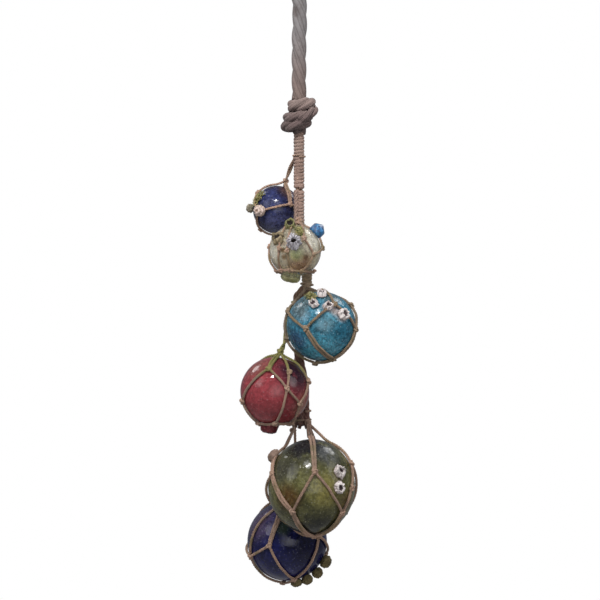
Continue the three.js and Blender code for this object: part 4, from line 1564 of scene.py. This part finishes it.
    def bead(self):
        """The azure shell: a faceted lump with softened edges."""
        ball = BALLS[BEAD["float"]]
        piece = started("ico_sphere", subdivisions=1, radius=BEAD["width"] * 0.54 * MM)
        piece.name = "azure_shell"
        bpy.ops.object.mode_set(mode="EDIT")
        bpy.ops.mesh.select_all(action="SELECT")
        bpy.ops.mesh.bevel(offset=1.1 * MM, segments=2)
        bpy.ops.mesh.select_all(action="SELECT")
        bpy.ops.mesh.subdivide(number_cuts=1)
        bpy.ops.object.mode_set(mode="OBJECT")
        reshape(piece, lambda co: co * (0.97 + 0.05 * noise.noise(co * 240)))
        piece.data.transform(ball.seat(*BEAD["place"], BEAD["lift"] * MM))
        reshape(piece, lambda co: ball.lifted(co, SKIN_GAP))
        select_only(piece)
        bpy.ops.object.shade_smooth_by_angle(angle=math.radians(24))
        settle(piece, bead_finish(linear(58, 140, 200)).material, "blue_shell", "blue_barnacle")


class FLOATS_OT_moss(bpy.types.Operator):
    """Makes the clumps of dry moss from lumps and many small curled fronds"""
    bl_idname = "floats.moss"
    bl_label = "Moss"

    def execute(self, context):
        settings = context.scene.float_growth
        finish = moss_finish(tuple(settings.moss))
        for number, (node, (name, lumps)) in enumerate(MOSS.items()):
            random.seed(MOSS_SEED + number)
            ball = BALLS[name]
            pieces = []
            for latitude, longitude, width in lumps:
                pieces.append(self.lump(ball, latitude, longitude, width))
                for _ in range(settings.fronds):
                    pieces.append(self.frond(ball, settings, latitude, longitude, width))
            piece = joined(f"{node}_fronds", pieces)
            settle(piece, finish.material, "moss", node)
        return {"FINISHED"}

    def lump(self, ball, latitude, longitude, width):
        piece = started("ico_sphere", subdivisions=4, radius=width * 0.32 * MM)

        def squashed(co):
            return Vector((co.x, co.y, co.z * 0.42)) * (0.85 + 0.4 * noise.noise(co * 420))

        reshape(piece, squashed)
        piece.data.transform(ball.seat(latitude, longitude))
        reshape(piece, lambda co: ball.lifted(co, SKIN_GAP))
        return piece

    def frond(self, ball, settings, latitude, longitude, width):
        """A thin blade that curls away from the lump."""
        if "blade" not in bpy.data.meshes:
            self.blade(settings.frond_length)
        piece = bpy.data.objects.new("frond", bpy.data.meshes["blade"].copy())
        bpy.context.scene.collection.objects.link(piece)
        angle, away = random.random() * FULL_TURN, math.sqrt(random.random())
        spot = Vector((math.cos(angle), math.sin(angle), 0)) * away * width * 0.46 * MM
        spot.z = width * 0.2 * MM * (1 - away * away)
        lean = Matrix.Rotation(random.uniform(0.5, 1.25) * (0.4 + 0.6 * away), 4, "Y")
        turn = Matrix.Rotation(angle + random.uniform(-0.7, 0.7), 4, "Z")
        size = Matrix.Scale(random.uniform(0.5, 1.1), 4)
        piece.data.transform(
            ball.seat(latitude, longitude) @ Matrix.Translation(spot) @ turn @ lean @ size)
        reshape(piece, lambda co: ball.lifted(co, 0.2 * MM))
        return piece

    def blade(self, length):
        """One frond, pointing up from the origin and curling over towards +X."""
        piece = started(
            "cone", vertices=5, radius1=0.75 * MM, radius2=0.12 * MM, depth=length, location=(0, 0, 0))
        bpy.ops.object.mode_set(mode="EDIT")
        for share in (0.25, 0.5, 0.75):
            bpy.ops.mesh.select_all(action="SELECT")
            bpy.ops.mesh.bisect(plane_co=(0, 0, length * (share - 0.5)), plane_no=(0, 0, 1))
        bpy.ops.object.mode_set(mode="OBJECT")

        def curled(co):
            share = co.z / length + 0.5
            forward = co.x * 0.55 + length * 0.4 * share * share
            return Vector((forward, co.y, length * share * (1 - 0.3 * share)))

        reshape(piece, curled)
        piece.data.name = "blade"
        piece.data.use_fake_user = True
        bpy.data.objects.remove(piece)


class FLOATS_PT_string(bpy.types.Panel):
    """Lists the steps that dress the string"""
    bl_label = "Netted glass floats"
    bl_idname = "FLOATS_PT_string"
    bl_space_type = "VIEW_3D"
    bl_region_type = "UI"
    bl_category = "Floats"

    def draw(self, context):
        for group in GROUPS:
            box = self.layout.box()
            box.label(text=group.__doc__)
            settings = getattr(context.scene, GROUPS[group])
            for name in group.__annotations__:
                box.prop(settings, name)
        for step in STEPS:
            self.layout.operator(step.bl_idname)


GROUPS = {
    FloatStageSettings: "float_stage",
    FloatRopeSettings: "float_rope",
    FloatNetSettings: "float_net",
    FloatGlassSettings: "float_glass",
    FloatGrowthSettings: "float_growth",
}
STEPS = (
    FLOATS_OT_stage,
    FLOATS_OT_hanging_rope,
    FLOATS_OT_stopper_knot,
    FLOATS_OT_core,
    FLOATS_OT_glass,
    FLOATS_OT_nets,
    FLOATS_OT_shells,
    FLOATS_OT_moss,
)


def register():
    for group, name in GROUPS.items():
        bpy.utils.register_class(group)
        setattr(bpy.types.Scene, name, bpy.props.PointerProperty(type=group))
    for cls in (*STEPS, FLOATS_PT_string):
        bpy.utils.register_class(cls)


def unregister():
    for cls in (FLOATS_PT_string, *reversed(STEPS)):
        bpy.utils.unregister_class(cls)
    for group, name in GROUPS.items():
        delattr(bpy.types.Scene, name)
        bpy.utils.unregister_class(group)


def main():
    noise.seed_set(NOISE_SEED)
    register()
    bpy.ops.floats.stage()
    bpy.ops.floats.hanging_rope()
    bpy.ops.floats.stopper_knot()
    bpy.ops.floats.core()
    bpy.ops.floats.glass()
    bpy.ops.floats.nets()
    bpy.ops.floats.shells()
    bpy.ops.floats.moss()


if __name__ == "__main__":
    main()
